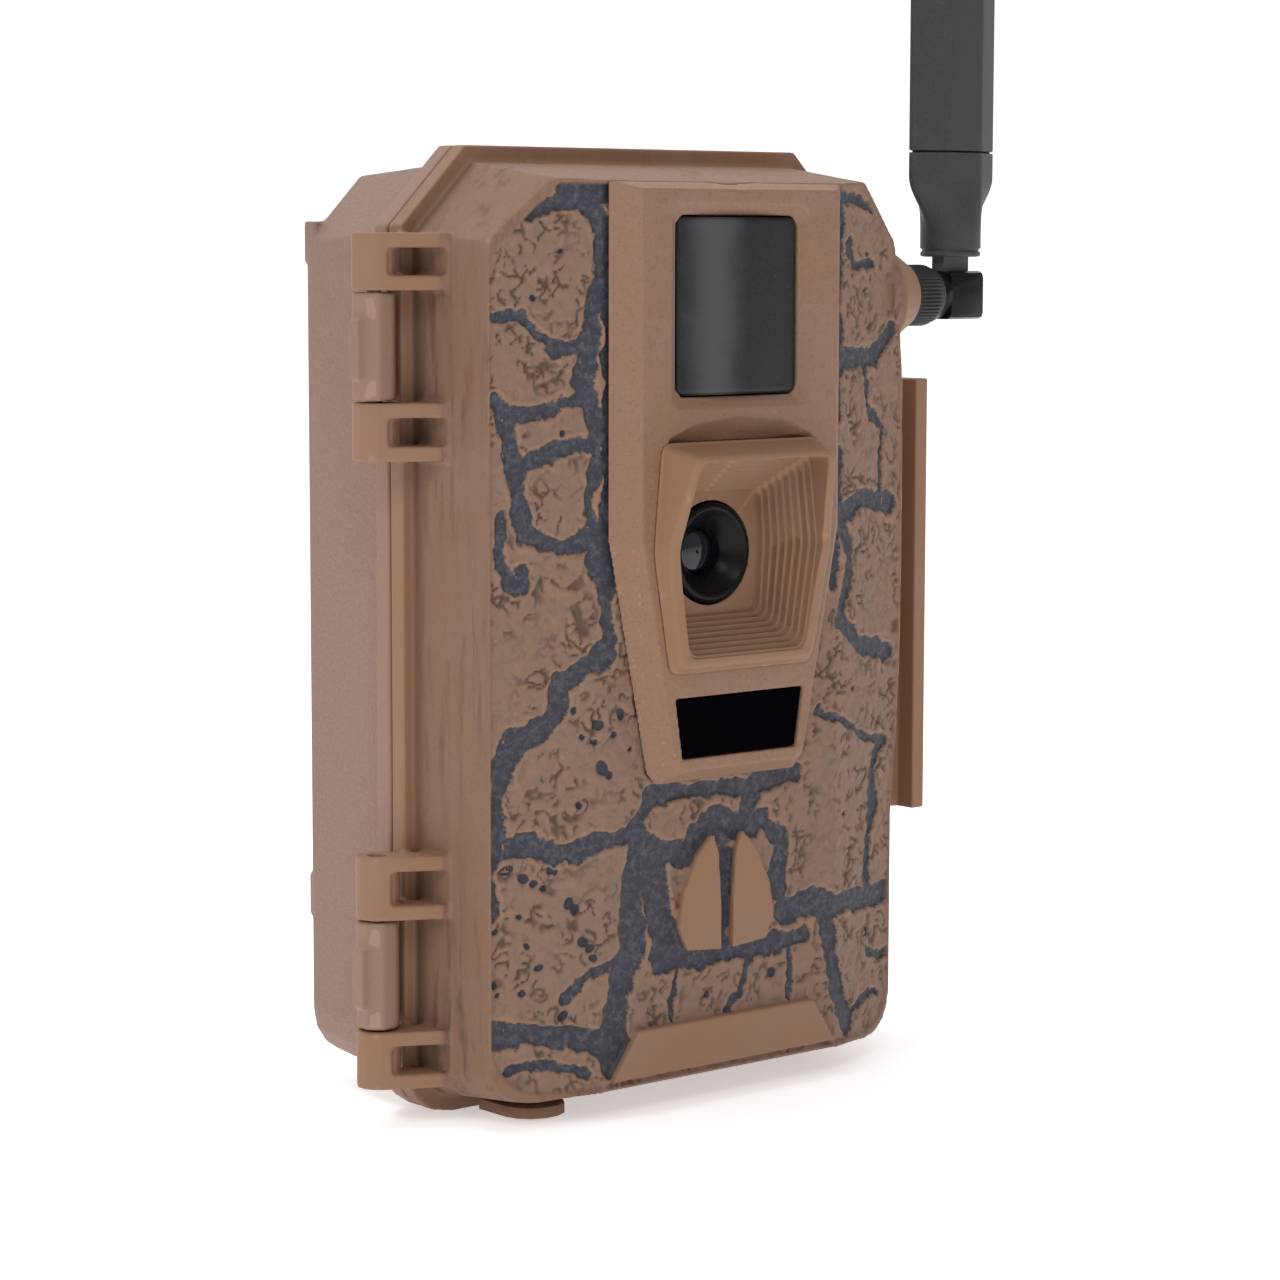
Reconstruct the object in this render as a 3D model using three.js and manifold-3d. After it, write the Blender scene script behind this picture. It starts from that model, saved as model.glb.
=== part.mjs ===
// Cellular trail camera: a hinged two-part case with a camera, infrared lamp and antenna in the front
// half and the cells in the rear half. Millimetres, +Z up, the lens looks along -Y, X is to the right of
// someone facing the lens. The origin is on the standing surface, in the middle of the rear rim.
import * as THREE from 'three';
import { mergeVertices } from 'three/addons/utils/BufferGeometryUtils.js';
import Module from 'manifold-3d';

const wasm = await Module();
wasm.setup();

// Case outline, looking along Y
const CASE_HEIGHT = 153;
const RIM_HALF_WIDTH = 47.5;
const RIM_CHAMFER = 12.5;
const RIM_CORNER = 9;
const WALL = 2.2;
const GAP = 0.3;
const CORNER_STEPS = 4;

// Depths along Y
const REAR_RIM = [-1.5, 2];
const FRONT_RIM = [-5, -1.8];
const REAR_BACK = 27;
const FRONT_EDGE = -21;
const FRONT_FACE = -27;
const PANEL_FACE = -31;
const HOOD_BACK = -22.4;
const HOOD_TIP = -37.6;
const FIRST_STEP = -32.4;
const LENS_FLOOR = -23.6;

// Hinges on the left
const HINGE = { x: -52.4, y: -4.6, outer: 3.5, bore: 1.55, pin: 1.2 };
const HINGE_SETS = [
  { name: 'upper', low: [104.4, 113.4], knuckle: [113.7, 130.3], high: [130.6, 139.4] },
  { name: 'lower', low: [6.2, 15.3], knuckle: [15.6, 32.7], high: [33.0, 42.9] },
];

// Latch on the right
const LATCH = { x: 50.8, y: 11, outer: 2.6, bore: 1.35, pin: 1.0, bottom: 40, top: 114.7 };
const LATCH_LUGS = [[35.9, 39.7], [115, 118.8]];

// Lens, windows and lamp
const LENS_Z = 88.6;
const LENS_RADIUS = 8.1;
const WINDOW = { halfWidth: 12.9, bottom: 113.9, top: 142.2 };
const SENSOR_WINDOW = { bottomHalf: 11.9, topHalf: 13.4, bottom: 57.3, top: 66.5 };
const MOTION_SENSOR_Z = 61.9;

// Antenna
const ANTENNA = { y: -14, z: 129, pinX: 63.4, tip: 297 };

// Cells
const CELL = { radius: 7.0, length: 50.2, pitch: 15, y: 13.5, bottom: 18.2 };
const CELL_COLUMNS = 4;
const BAY_RADIUS = 7.15;

// Inner panel
const PANEL_BACK = -4.6;
const PANEL_FRONT = -6.5;
const BOARD = [-10.2, -8.6];
const KEY_CENTRE_Z = 84;
const SCREW_POINTS = [[-38, 10.5], [38, 10.5], [-33, 141.5], [33, 141.5]];
const SOCKET_X = -29.9;

const colours = {
  case: { color: 0x9b7c63, roughness: 0.75, metalness: 0 },
  smooth: { color: 0xa07a5e, roughness: 0.6, metalness: 0 },
  black: { color: 0x202124, roughness: 0.5, metalness: 0 },
  antenna: { color: 0x37383b, roughness: 0.55, metalness: 0 },
  window: { color: 0x1b1d22, roughness: 0.25, metalness: 0 },
  glass: { color: 0x30343c, roughness: 0.05, metalness: 0 },
  board: { color: 0x1f5a36, roughness: 0.6, metalness: 0 },
  steel: { color: 0xb9bcc0, roughness: 0.3, metalness: 1 },
  brass: { color: 0xc2a052, roughness: 0.35, metalness: 1 },
  rubber: { color: 0x2b2b2b, roughness: 0.9, metalness: 0 },
  grey: { color: 0x55585c, roughness: 0.7, metalness: 0 },
  cell: { color: 0x3a5f86, roughness: 0.4, metalness: 0.2 },
  card: { color: 0x27436b, roughness: 0.5, metalness: 0 },
};

// ---------------------------------------------------------------------------------------------
// Solids from three.js geometry

function toSolid(geometry) {
  const bare = geometry.clone();
  bare.deleteAttribute('normal');
  bare.deleteAttribute('uv');
  const merged = mergeVertices(bare, 1e-4);
  const corners = merged.index.array;
  const kept = [];
  for (let i = 0; i < corners.length; i += 3) {
    const [a, b, c] = [corners[i], corners[i + 1], corners[i + 2]];
    if (a !== b && b !== c && c !== a) kept.push(a, b, c);
  }
  const vertProperties = Float32Array.from(merged.attributes.position.array);
  if (volume(vertProperties, kept) < 0) kept.reverse();
  const mesh = new wasm.Mesh({ numProp: 3, vertProperties, triVerts: Uint32Array.from(kept) });
  return new wasm.Manifold(mesh);
}

// The three axis letters say which world axis the local x, y and z run along.
const AXES = {
  X: new THREE.Matrix4().makeBasis(
    new THREE.Vector3(0, 1, 0), new THREE.Vector3(0, 0, 1), new THREE.Vector3(1, 0, 0)),
  Y: new THREE.Matrix4().makeBasis(
    new THREE.Vector3(1, 0, 0), new THREE.Vector3(0, 0, 1), new THREE.Vector3(0, -1, 0)),
  Z: new THREE.Matrix4(),
};

// An outline extruded along one axis. Points are (x, y) for Z, (x, z) for Y and (y, z) for X.
function prism(axis, points, from, to) {
  const shape = new THREE.Shape(points.map(([a, b]) => new THREE.Vector2(a, b)));
  const geometry = new THREE.ExtrudeGeometry(shape, { depth: to - from, bevelEnabled: false });
  geometry.applyMatrix4(AXES[axis]);
  const start = axis === 'Y' ? to : from;
  const shift = { X: [start, 0, 0], Y: [0, start, 0], Z: [0, 0, start] }[axis];
  geometry.translate(...shift);
  return toSolid(geometry);
}

function box(x, y, z) {
  const geometry = new THREE.BoxGeometry(x[1] - x[0], y[1] - y[0], z[1] - z[0]);
  geometry.translate((x[0] + x[1]) / 2, (y[0] + y[1]) / 2, (z[0] + z[1]) / 2);
  return toSolid(geometry);
}

function circle(radius, cx = 0, cy = 0, sides = 16) {
  const points = [];
  for (let i = 0; i < sides; i++) {
    const angle = ((i + 0.5) * 2 * Math.PI) / sides;
    points.push([cx + radius * Math.cos(angle), cy + radius * Math.sin(angle)]);
  }
  return points;
}

function roundedBox(halfX, halfY, cx, cy, radius, steps = 2) {
  const points = [];
  const centres = [[1, -1, -90], [1, 1, 0], [-1, 1, 90], [-1, -1, 180]];
  for (const [sx, sy, start] of centres) {
    addArc(points, cx + sx * (halfX - radius), cy + sy * (halfY - radius), radius, start, start + 90, steps);
  }
  return points;
}

function addArc(points, cx, cy, radius, start, end, steps) {
  for (let i = 0; i <= steps; i++) {
    const angle = THREE.MathUtils.degToRad(start + ((end - start) * i) / steps);
    points.push([cx + radius * Math.cos(angle), cy + radius * Math.sin(angle)]);
  }
}

// A skin through rings that all have the same number of points, closed by a cap at each end.
function loft(rings) {
  const count = rings[0].length;
  const positions = rings.flat().flatMap((p) => [p.x, p.y, p.z]);
  const index = [];
  for (let r = 0; r + 1 < rings.length; r++) {
    for (let i = 0; i < count; i++) {
      const j = (i + 1) % count;
      const [a, b, c, d] = [r * count + i, r * count + j, (r + 1) * count + j, (r + 1) * count + i];
      index.push(a, b, c, a, c, d);
    }
  }
  const drop = flattest(rings[0]);
  const flat = rings[0].map((p) => new THREE.Vector2(...drop(p)));
  const last = (rings.length - 1) * count;
  const clockwise = THREE.ShapeUtils.isClockWise(flat);
  for (const [a, b, c] of THREE.ShapeUtils.triangulateShape(flat, [])) {
    const [p, q] = facesOrder(flat, a, b, c) === clockwise ? [b, c] : [c, b];
    index.push(a, q, p);
    index.push(last + a, last + p, last + q);
  }
  const geometry = new THREE.BufferGeometry();
  geometry.setAttribute('position', new THREE.BufferAttribute(new Float32Array(positions), 3));
  geometry.setIndex(index);
  return toSolid(geometry);
}

// Whether triangle a, b, c runs clockwise in the flat outline.
function facesOrder(flat, a, b, c) {
  return THREE.ShapeUtils.isClockWise([flat[a], flat[b], flat[c]]);
}

function flattest(ring) {
  const size = new THREE.Box3().setFromPoints(ring).getSize(new THREE.Vector3());
  if (size.y <= size.x && size.y <= size.z) return (p) => [p.x, p.z];
  if (size.z <= size.x && size.z <= size.y) return (p) => [p.x, p.y];
  return (p) => [p.y, p.z];
}

// Six times the signed volume: below zero when the faces point inwards.
function volume(positions, index) {
  const corner = (i) => new THREE.Vector3().fromArray(positions, 3 * i);
  let sum = 0;
  for (let i = 0; i < index.length; i += 3) {
    sum += corner(index[i]).dot(corner(index[i + 1]).cross(corner(index[i + 2])));
  }
  return sum;
}

// Lofts whose rings lie across Y, given as [y, outline of (x, z) points], or across Z.
function loftY(sections) {
  return loft(sections.map(([y, points]) => points.map(([x, z]) => new THREE.Vector3(x, y, z))));
}

function loftZ(sections) {
  return loft(sections.map(([z, points]) => points.map(([x, y]) => new THREE.Vector3(x, y, z))));
}

// A turned solid; the profile is (radius, distance along the axis) and starts and ends on the axis or closes.
function turned(axis, profile, at, sides = 16) {
  const points = profile.map(([r, t]) => new THREE.Vector2(r, t));
  const geometry = new THREE.LatheGeometry(points, sides);
  geometry.rotateX(Math.PI / 2);
  geometry.applyMatrix4(AXES[axis]);
  if (axis === 'Y') geometry.rotateZ(Math.PI);
  geometry.translate(...at);
  return toSolid(geometry);
}

function rod(axis, radius, from, to, across, sides = 16) {
  return prism(axis, circle(radius, across[0], across[1], sides), from, to);
}

function joined(solids) {
  return solids.reduce((sum, solid) => sum.add(solid));
}

const group = new THREE.Group();

function addPart(name, solid, look) {
  const mesh = solid.getMesh();
  const geometry = new THREE.BufferGeometry();
  geometry.setAttribute('position', new THREE.BufferAttribute(Float32Array.from(mesh.vertProperties), 3));
  geometry.setIndex(Array.from(mesh.triVerts));
  geometry.computeVertexNormals();
  const part = new THREE.Mesh(geometry, new THREE.MeshStandardMaterial(colours[look]));
  part.name = name;
  group.add(part);
}

// ---------------------------------------------------------------------------------------------
// Outlines that several pieces share

// The case seen from the front: round bottom corners and wide chamfers at the top.
function caseOutline(halfWidth, bottom, top, chamfer, radius) {
  const points = [];
  addArc(points, halfWidth - radius, bottom + radius, radius, -90, 0, CORNER_STEPS);
  points.push([halfWidth, top - chamfer], [halfWidth - chamfer, top]);
  points.push([-halfWidth + chamfer, top], [-halfWidth, top - chamfer]);
  addArc(points, -halfWidth + radius, bottom + radius, radius, 180, 270, CORNER_STEPS);
  return points;
}

const rimOutline = (inset) => caseOutline(
  RIM_HALF_WIDTH - inset, inset, CASE_HEIGHT - inset, RIM_CHAMFER - inset * 0.5, RIM_CORNER - inset);

// The raised centre panel: straight sides above, tapering below.
function panelOutline(inset) {
  const half = 24.5 - inset;
  const low = 16.8 - inset * 0.75;
  const bottom = 52.8 + inset * 0.6;
  const top = 147.4 - inset * 0.3;
  return [
    [low - 2.2, bottom], [low, bottom + 2.2], [half, 92], [half, top],
    [-half, top], [-half, 92], [-low, bottom + 2.2], [-low + 2.2, bottom],
  ];
}

// The hood: straight top and bottom, sides that are widest a little above the lens, and cut corners.
function hoodOutline(topHalf, midHalf, bottomHalf, bottom, top) {
  const cut = 1.1;
  const side = [
    [bottomHalf - cut, bottom], [bottomHalf, bottom + cut], [midHalf, LENS_Z + 1.4],
    [topHalf, top - cut], [topHalf - cut, top],
  ];
  const mirrored = side.map(([x, z]) => [-x, z]).reverse();
  return [...side, ...mirrored];
}

// share 0 is the square round the lens, share 1 the hood's open mouth.
const hoodStep = (share) => hoodOutline(
  9.3 + 4.1 * share, 9.6 + 5.6 * share, 9.3 + 3.1 * share,
  LENS_Z - 9.2 - 6.3 * share, LENS_Z + 9.2 + 6.8 * share);
const hoodBody = (grow) => hoodOutline(
  16.4 + grow, 17.9 + grow, 14.8 + grow, LENS_Z - 17.5 - grow, LENS_Z + 17.9 + grow);

// A shallow scoop in the middle of the top edge, deepest at the front.
function topScoop() {
  const bottomEdge = [
    [14, 147.6], [9, 146.9], [4, 146.2], [0, 146.0], [-4, 146.2], [-9, 146.9], [-14, 147.6],
  ];
  const outline = (rise) => [[-14, 152], [14, 152], ...bottomEdge.map(([x, z]) => [x, z + rise])];
  return loftY([[PANEL_FACE - 0.5, outline(0)], [FRONT_EDGE - 1, outline(2.4)]]);
}

function sensorWindowOutline(grow) {
  const { bottomHalf, topHalf, bottom, top } = SENSOR_WINDOW;
  return [
    [bottomHalf + grow, bottom - grow], [topHalf + grow, top + grow],
    [-topHalf - grow, top + grow], [-bottomHalf - grow, bottom - grow],
  ];
}

const windowOutline = (grow) => roundedBox(
  WINDOW.halfWidth + grow, (WINDOW.top - WINDOW.bottom) / 2 + grow, 0, (WINDOW.top + WINDOW.bottom) / 2, 1.4, 1);

// ---------------------------------------------------------------------------------------------
// Rear half

// A rear knuckle: its web passes outside the front rim and ends on the rear rim.
function hingeKnuckle([bottom, top]) {
  const { x, y, outer } = HINGE;
  const barrel = rod('Z', outer, bottom, top, [x, y], 8);
  const web = prism('Z', [
    [x - 2.2, y + 2], [x, y + 1.7], [-48, y + 1.2], [-48, -1.4], [-46.6, -1.4], [-46.6, 1.9], [-50, 1.9],
  ], bottom, top);
  const tab = box([x - outer - 0.8, x - 2.2], [y - 1.8, y + 1], [bottom + 3.4, top - 4.2]);
  return joined([barrel, web, tab]);
}

function latchLug([bottom, top]) {
  const eye = rod('Z', 2.9, bottom, top, [LATCH.x, LATCH.y], 12);
  const web = box([43, LATCH.x], [LATCH.y - 2.8, LATCH.y + 2.8], [bottom, top]);
  return joined([eye, web]);
}

// One bracket rib across the back, with a wide notch and small teeth that grip a trunk.
function treeRib(bottom, top) {
  const bar = prism('Z', [
    [-43.1, 24], [43.1, 24], [43.1, 26.9], [39, 30], [-39, 30], [-43.1, 26.9],
  ], bottom, top);
  const notch = prism('Z', [[-27, 30.1], [0, 28.0], [27, 30.1]], bottom - 1, top + 1);
  const teeth = [];
  for (const side of [-1, 1]) {
    for (let i = 0; i < 5; i++) {
      const x = side * (6 + 4.2 * i);
      teeth.push(prism('Z', [[x - 1.3, 30.2], [x, 27.8], [x + 1.3, 30.2]], bottom - 1, top + 1));
    }
  }
  return bar.subtract(notch).subtract(joined(teeth));
}

// Blind pockets near both side edges, each with an upright bar that a strap goes round
const STRAP = { bottom: 64, top: 96, inner: 34.9, outer: 41.4, floor: 20, bar: [37.3, 39.2] };

function makeRearCase() {
  const rim = loftY([[REAR_RIM[0], rimOutline(0)], [REAR_RIM[1], rimOutline(0)]]);
  const body = loftY([
    [REAR_RIM[1] - 0.1, caseOutline(45, 2.6, 150.2, 11, 8)],
    [REAR_BACK - 1.6, caseOutline(43.6, 4.2, 148.6, 10.6, 8)],
    [REAR_BACK, caseOutline(42.2, 5.6, 147.2, 10.2, 7.2)],
  ]);
  const cavity = loftY([
    [REAR_RIM[0] - 0.1, caseOutline(45 - WALL, 4.8, 148, 10.2, 6.4)],
    [REAR_BACK - WALL, caseOutline(41.3, 6.5, 146.3, 9.8, 6.4)],
  ]);
  const groove = loftY([[REAR_RIM[0] - 0.1, rimOutline(1.3)], [0.1, rimOutline(1.3)]])
    .subtract(loftY([[REAR_RIM[0] - 0.2, rimOutline(3.5)], [0.2, rimOutline(3.5)]]));
  const mirroredBox = (x, y, z) => joined([box(x, y, z), box([-x[1], -x[0]], y, z)]);
  const pocketWalls = mirroredBox(
    [STRAP.inner - WALL, 45], [STRAP.floor - 2, REAR_BACK], [STRAP.bottom - 2, STRAP.top + 2]);
  const pockets = mirroredBox(
    [STRAP.inner, STRAP.outer], [STRAP.floor, REAR_BACK + 1], [STRAP.bottom, STRAP.top]);
  const bars = mirroredBox(STRAP.bar, [REAR_BACK - 2.4, REAR_BACK], [STRAP.bottom - 1, STRAP.top + 1]);
  const tripodPad = loftZ([
    [0, roundedBox(15, 8.2, 0, 18.3, 2)], [6, roundedBox(16, 8.4, 0, 18.1, 2)],
  ]);
  const tripodBoss = rod('Z', 7.2, 3, 11.5, [0, 18.3]);
  const hollow = cavity.subtract(pocketWalls).subtract(tripodBoss);
  const shell = rim.add(body).subtract(hollow).subtract(groove).add(tripodPad.subtract(hollow));
  const extras = [treeRib(134.6, 141.2), treeRib(27.7, 34.7), ...LATCH_LUGS.map(latchLug)];
  const outside = joined(extras).subtract(cavity);
  const knuckles = joined(HINGE_SETS.map((set) => hingeKnuckle(set.knuckle)));
  const bores = [
    rod('Z', HINGE.bore, -1, 160, [HINGE.x, HINGE.y]),
    rod('Z', LATCH.bore, 30, 125, [LATCH.x, LATCH.y]),
    rod('Z', 5.05, -1, 9.4, [0, 18.3]),
  ];
  return shell.add(outside).add(knuckles).subtract(pockets).add(bars).subtract(joined(bores));
}

addPart('rear_case', makeRearCase(), 'case');

const gasket = loftY([[REAR_RIM[0] - GAP / 2, rimOutline(1.7)], [-0.25, rimOutline(1.7)]])
  .subtract(loftY([[REAR_RIM[0] - 1, rimOutline(3.1)], [1, rimOutline(3.1)]]));
addPart('rim_gasket', gasket, 'rubber');

for (const set of HINGE_SETS) {
  const pin = rod('Z', HINGE.pin, set.low[0] + 1, set.high[1] - 0.4, [HINGE.x, HINGE.y]);
  addPart(`hinge_pin_${set.name}`, pin, 'steel');
}
addPart('latch_pin', rod('Z', LATCH.pin, LATCH_LUGS[0][0], LATCH_LUGS[1][1], [LATCH.x, LATCH.y], 12), 'steel');

const tripodThread = turned('Z', [[0, 8], [2.7, 8], [2.7, 0.8], [3.2, 0.2], [4.7, 0.2], [4.7, 9], [0, 9], [0, 8]],
  [0, 18.3, 0], 20);
addPart('tripod_insert', tripodThread, 'brass');

// Battery tray: four columns of two cells, open towards the front
const columnX = (column) => (column - (CELL_COLUMNS - 1) / 2) * CELL.pitch;
const CELLS_TOP = CELL.bottom + 2 * CELL.length + GAP;
const TRAY = { half: 31.4, front: 8.2, back: 23.2, bottom: 13.2, top: CELLS_TOP + 5 };

function makeBatteryTray() {
  const block = box([-TRAY.half, TRAY.half], [TRAY.front, TRAY.back], [TRAY.bottom, TRAY.top]);
  const bays = [];
  for (let column = 0; column < CELL_COLUMNS; column++) {
    const x = columnX(column);
    const bay = [[x + BAY_RADIUS, TRAY.front - 1]];
    addArc(bay, x, CELL.y, BAY_RADIUS, 0, 180, 8);
    bay.push([x - BAY_RADIUS, TRAY.front - 1]);
    bays.push(prism('Z', bay, TRAY.bottom + 2, TRAY.top - 2));
  }
  const finger = box([-TRAY.half + 4, TRAY.half - 4], [TRAY.front - 1, 10.4], [62, 76]);
  const stripSeats = [[TRAY.bottom + 1.7, TRAY.bottom + 3.1], [TRAY.top - 3.1, TRAY.top - 1.7]].map(
    (z) => box([-28, 28], [CELL.y - 4.3, CELL.y + 4.3], z));
  return block.subtract(joined([...bays, finger, ...stripSeats]));
}

addPart('battery_tray', makeBatteryTray(), 'black');

function makeCell(x, bottom, pointsUp) {
  const body = CELL.length - 1.4;
  const profile = [
    [0, 0], [4.2, 0], [4.2, 0.3], [6.2, 0.3], [CELL.radius, 0.9], [CELL.radius, body - 0.8],
    [6.2, body], [2.7, body], [2.7, CELL.length], [0, CELL.length],
  ];
  const placed = pointsUp ? profile : profile.map(([r, t]) => [r, CELL.length - t]);
  return turned('Z', placed, [x, CELL.y, bottom], 18);
}

let cellNumber = 1;
for (let column = 0; column < CELL_COLUMNS; column++) {
  for (const row of [0, 1]) {
    const bottom = CELL.bottom + row * (CELL.length + GAP);
    addPart(`battery_cell_${cellNumber}`, makeCell(columnX(column), bottom, column % 2 === 0), 'cell');
    cellNumber += 1;
  }
}

// A coil spring standing on a contact strip; it presses on the flat end of a cell.
class SpringPath extends THREE.Curve {
  constructor(height) {
    super();
    this.height = height;
  }

  getPoint(t, target = new THREE.Vector3()) {
    const turns = 2.5;
    const angle = t * turns * 2 * Math.PI;
    const radius = 3.6 - 1.4 * t;
    return target.set(radius * Math.cos(angle), radius * Math.sin(angle), this.height * t);
  }
}

function makeSpring(x, base, height) {
  const wire = new THREE.Shape(circle(0.35, 0, 0, 5).map(([a, b]) => new THREE.Vector2(a, b)));
  const path = new SpringPath(Math.abs(height));
  const geometry = new THREE.ExtrudeGeometry(wire, { steps: 26, extrudePath: path, bevelEnabled: false });
  if (height < 0) geometry.rotateX(Math.PI);
  geometry.translate(x, CELL.y, base);
  return toSolid(geometry);
}

const STRIP_BOTTOM = TRAY.bottom + 2 + GAP;
const STRIP_TOP = TRAY.top - 2 - GAP;

function contactStrip(x0, x1, z, springAt, direction) {
  const plate = box([x0 - 4.6, x1 + 4.6], [CELL.y - 3.6, CELL.y + 3.6], z);
  const spring = makeSpring(springAt, direction > 0 ? z[1] - 0.2 : z[0] + 0.2, direction * 1.9);
  return plate.add(spring);
}

for (const [name, first] of [['left', 0], ['right', 2]]) {
  const solid = contactStrip(columnX(first), columnX(first + 1), [STRIP_BOTTOM, STRIP_BOTTOM + 0.5],
    columnX(first), 1);
  addPart(`contact_bottom_${name}`, solid, 'steel');
}
addPart('contact_top_middle',
  contactStrip(columnX(1), columnX(2), [STRIP_TOP - 0.5, STRIP_TOP], columnX(1), -1), 'steel');

// The end terminals turn down over the tray's front edge, where the front half's springs meet them.
function makeTerminal(side) {
  const x = side * columnX(3);
  const plate = box([x - 4, x + 4], [3.9, CELL.y + 3.6], [STRIP_TOP - 0.5, STRIP_TOP]);
  const pad = box([x - 4, x + 4], [3.9, 4.5], [STRIP_TOP - 9, STRIP_TOP]);
  return plate.add(pad);
}

addPart('terminal_positive', makeTerminal(-1), 'steel');
addPart('terminal_negative', makeTerminal(1).add(makeSpring(columnX(3), STRIP_TOP - 0.3, -1.9)), 'steel');

// ---------------------------------------------------------------------------------------------
// Latch

const leverProfile = [
  [LATCH.x, LATCH.y - 2.6], [55.5, 7], [57, 4.5], [57, -5.3], [50.1, -5.3], [50.1, -7.4], [57, -8.8],
  [57, -12.5], [59.7, -12.5], [60.2, -11.8], [60.2, 5.5], [57.5, 10.5], [54.6, LATCH.y + 2.6],
  [LATCH.x, LATCH.y + 2.6],
];
const lever = prism('Z', leverProfile, LATCH.bottom, LATCH.top)
  .add(rod('Z', LATCH.outer, LATCH.bottom, LATCH.top, [LATCH.x, LATCH.y], 12))
  .subtract(rod('Z', LATCH.bore, 30, 125, [LATCH.x, LATCH.y], 12));
addPart('latch_lever', lever, 'smooth');

// ---------------------------------------------------------------------------------------------
// Front half

// One hinge leaf: a barrel and an arm that runs back to the side wall, with a slot through the arm.
function hingeLeaf([bottom, top]) {
  const { x, y, outer } = HINGE;
  const barrel = rod('Z', outer, bottom, top, [x, y], 12);
  const arm = prism('Z', [
    [x - 3.3, y - 1.2], [x - 1.8, y - 3.1], [-43.7, -13.2], [-43.7, -7.4], [x + 1.5, y + 2.4],
  ], bottom, top);
  const slot = box([x - 0.2, -44.4], [-14, 3], [bottom + 2.3, top - 2.3]);
  return barrel.add(arm.subtract(slot));
}

// How far the right side wall swells outwards at each height
const SIDE_SWELL = [
  [42, 0.05], [50, 0.9], [57, 1.8], [66, 2.5], [76, 2.9],
  [95, 3.2], [114, 2.8], [123, 1.9], [131, 0.6], [136, 0.05],
];

function sideSwell() {
  return loftZ(SIDE_SWELL.map(([z, swell]) => [z, [
    [41.5, -5.3], [41.5, -20.5], [43.1, -21], [43.2 + swell, -21 + 0.33 * swell], [45.35 + 0.8 * swell, -6.5],
    [45.3, -5.2],
  ]]));
}

// Two halves of a hoof print, raised on the face below the panel.
function hoofPrint() {
  const half = (side) => prism('Y', [
    [side * 1.3, 25], [side * 8.4, 25.6], [side * 10.2, 29.5], [side * 9.2, 35], [side * 6.2, 41],
    [side * 3.1, 44], [side * 1.9, 41], [side * 1.3, 33],
  ], FRONT_FACE - 1.2, FRONT_FACE + 0.4);
  return half(-1).add(half(1));
}

function namePlate() {
  return prism('Y', [[24, 6.6], [18.8, 14.1], [-18.8, 14.1], [-24, 6.6]], FRONT_FACE - 1.4, FRONT_FACE + 0.4);
}

const planProfile = (inset) => {
  const half = 25 - inset * 0.3;
  return [
    [-45.4 + inset, -4], [-43.2 + inset, FRONT_EDGE], [-half, FRONT_FACE + inset], [half, FRONT_FACE + inset],
    [43.2 - inset, FRONT_EDGE], [45.4 - inset, -4],
  ];
};

function makeFrontHousing() {
  const rim = loftY([[FRONT_RIM[0], rimOutline(0)], [FRONT_RIM[1], rimOutline(0)]]);
  const body = loftY([
    [FRONT_FACE, caseOutline(44, 5.0, 147.4, 11, 8.5)],
    [FRONT_EDGE, caseOutline(44, 3.8, 148.2, 11, 8.5)],
    [FRONT_RIM[0] + 0.1, caseOutline(45.4, 2.6, 150.4, 11.4, 8)],
  ]).intersect(prism('Z', planProfile(0), -1, 160));
  const cavity = loftY([
    [FRONT_FACE, caseOutline(42, 7.0, 145.4, 10, 6.8)],
    [FRONT_RIM[1] + 0.1, caseOutline(43.1, 4.8, 148, 10.4, 6.4)],
  ]).intersect(prism('Z', planProfile(WALL).map(([x, y]) => [x, y < -4.5 ? y : 0]), -1, 160));
  const posts = SCREW_POINTS.map(([x, z]) => rod('Y', 3.2, -22, PANEL_FRONT - GAP, [x, z], 12));
  const inside = joined(posts).intersect(body);
  const boss = turned('X', [[0, 42], [8.7, 42], [8.7, 45], [5.7, 50.9], [0, 50.9], [0, 42]],
    [0, ANTENNA.y, ANTENNA.z], 24);
  const catchRidge = box([46.5, 49.7], FRONT_RIM, [36.4, 113.4]);
  const leaves = HINGE_SETS.flatMap((set) => [hingeLeaf(set.low), hingeLeaf(set.high)]);
  const cuts = [
    prism('Y', windowOutline(GAP), -30, -22),
    prism('Y', hoodBody(GAP), -30, -22),
    topScoop(),
    prism('Y', sensorWindowOutline(-1), -30, -22),
    rod('Z', HINGE.bore, -1, 160, [HINGE.x, HINGE.y]),
    rod('X', 3.45, 36, 60, [ANTENNA.y, ANTENNA.z]),
    rod('Z', 3.6, 0, 8, [SOCKET_X, ANTENNA.y]),
    ...SCREW_POINTS.map(([x, z]) => rod('Y', 1.5, -19, -5, [x, z], 12)),
  ];
  return rim.add(body).add(boss).add(sideSwell()).subtract(cavity).add(inside).add(catchRidge)
    .add(joined(leaves).subtract(cavity)).add(hoofPrint()).add(namePlate()).subtract(joined(cuts));
}

addPart('front_housing', makeFrontHousing(), 'case');

// The recess between the window frame and the hood: flat below, arched above.
function browOutline(half, bottom, side, top) {
  const mid = (side + top) / 2 + (top - side) * 0.2;
  return [
    [-half, bottom], [half, bottom], [half, side], [half * 0.6, mid],
    [0, top], [-half * 0.6, mid], [-half, side],
  ];
}

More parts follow.
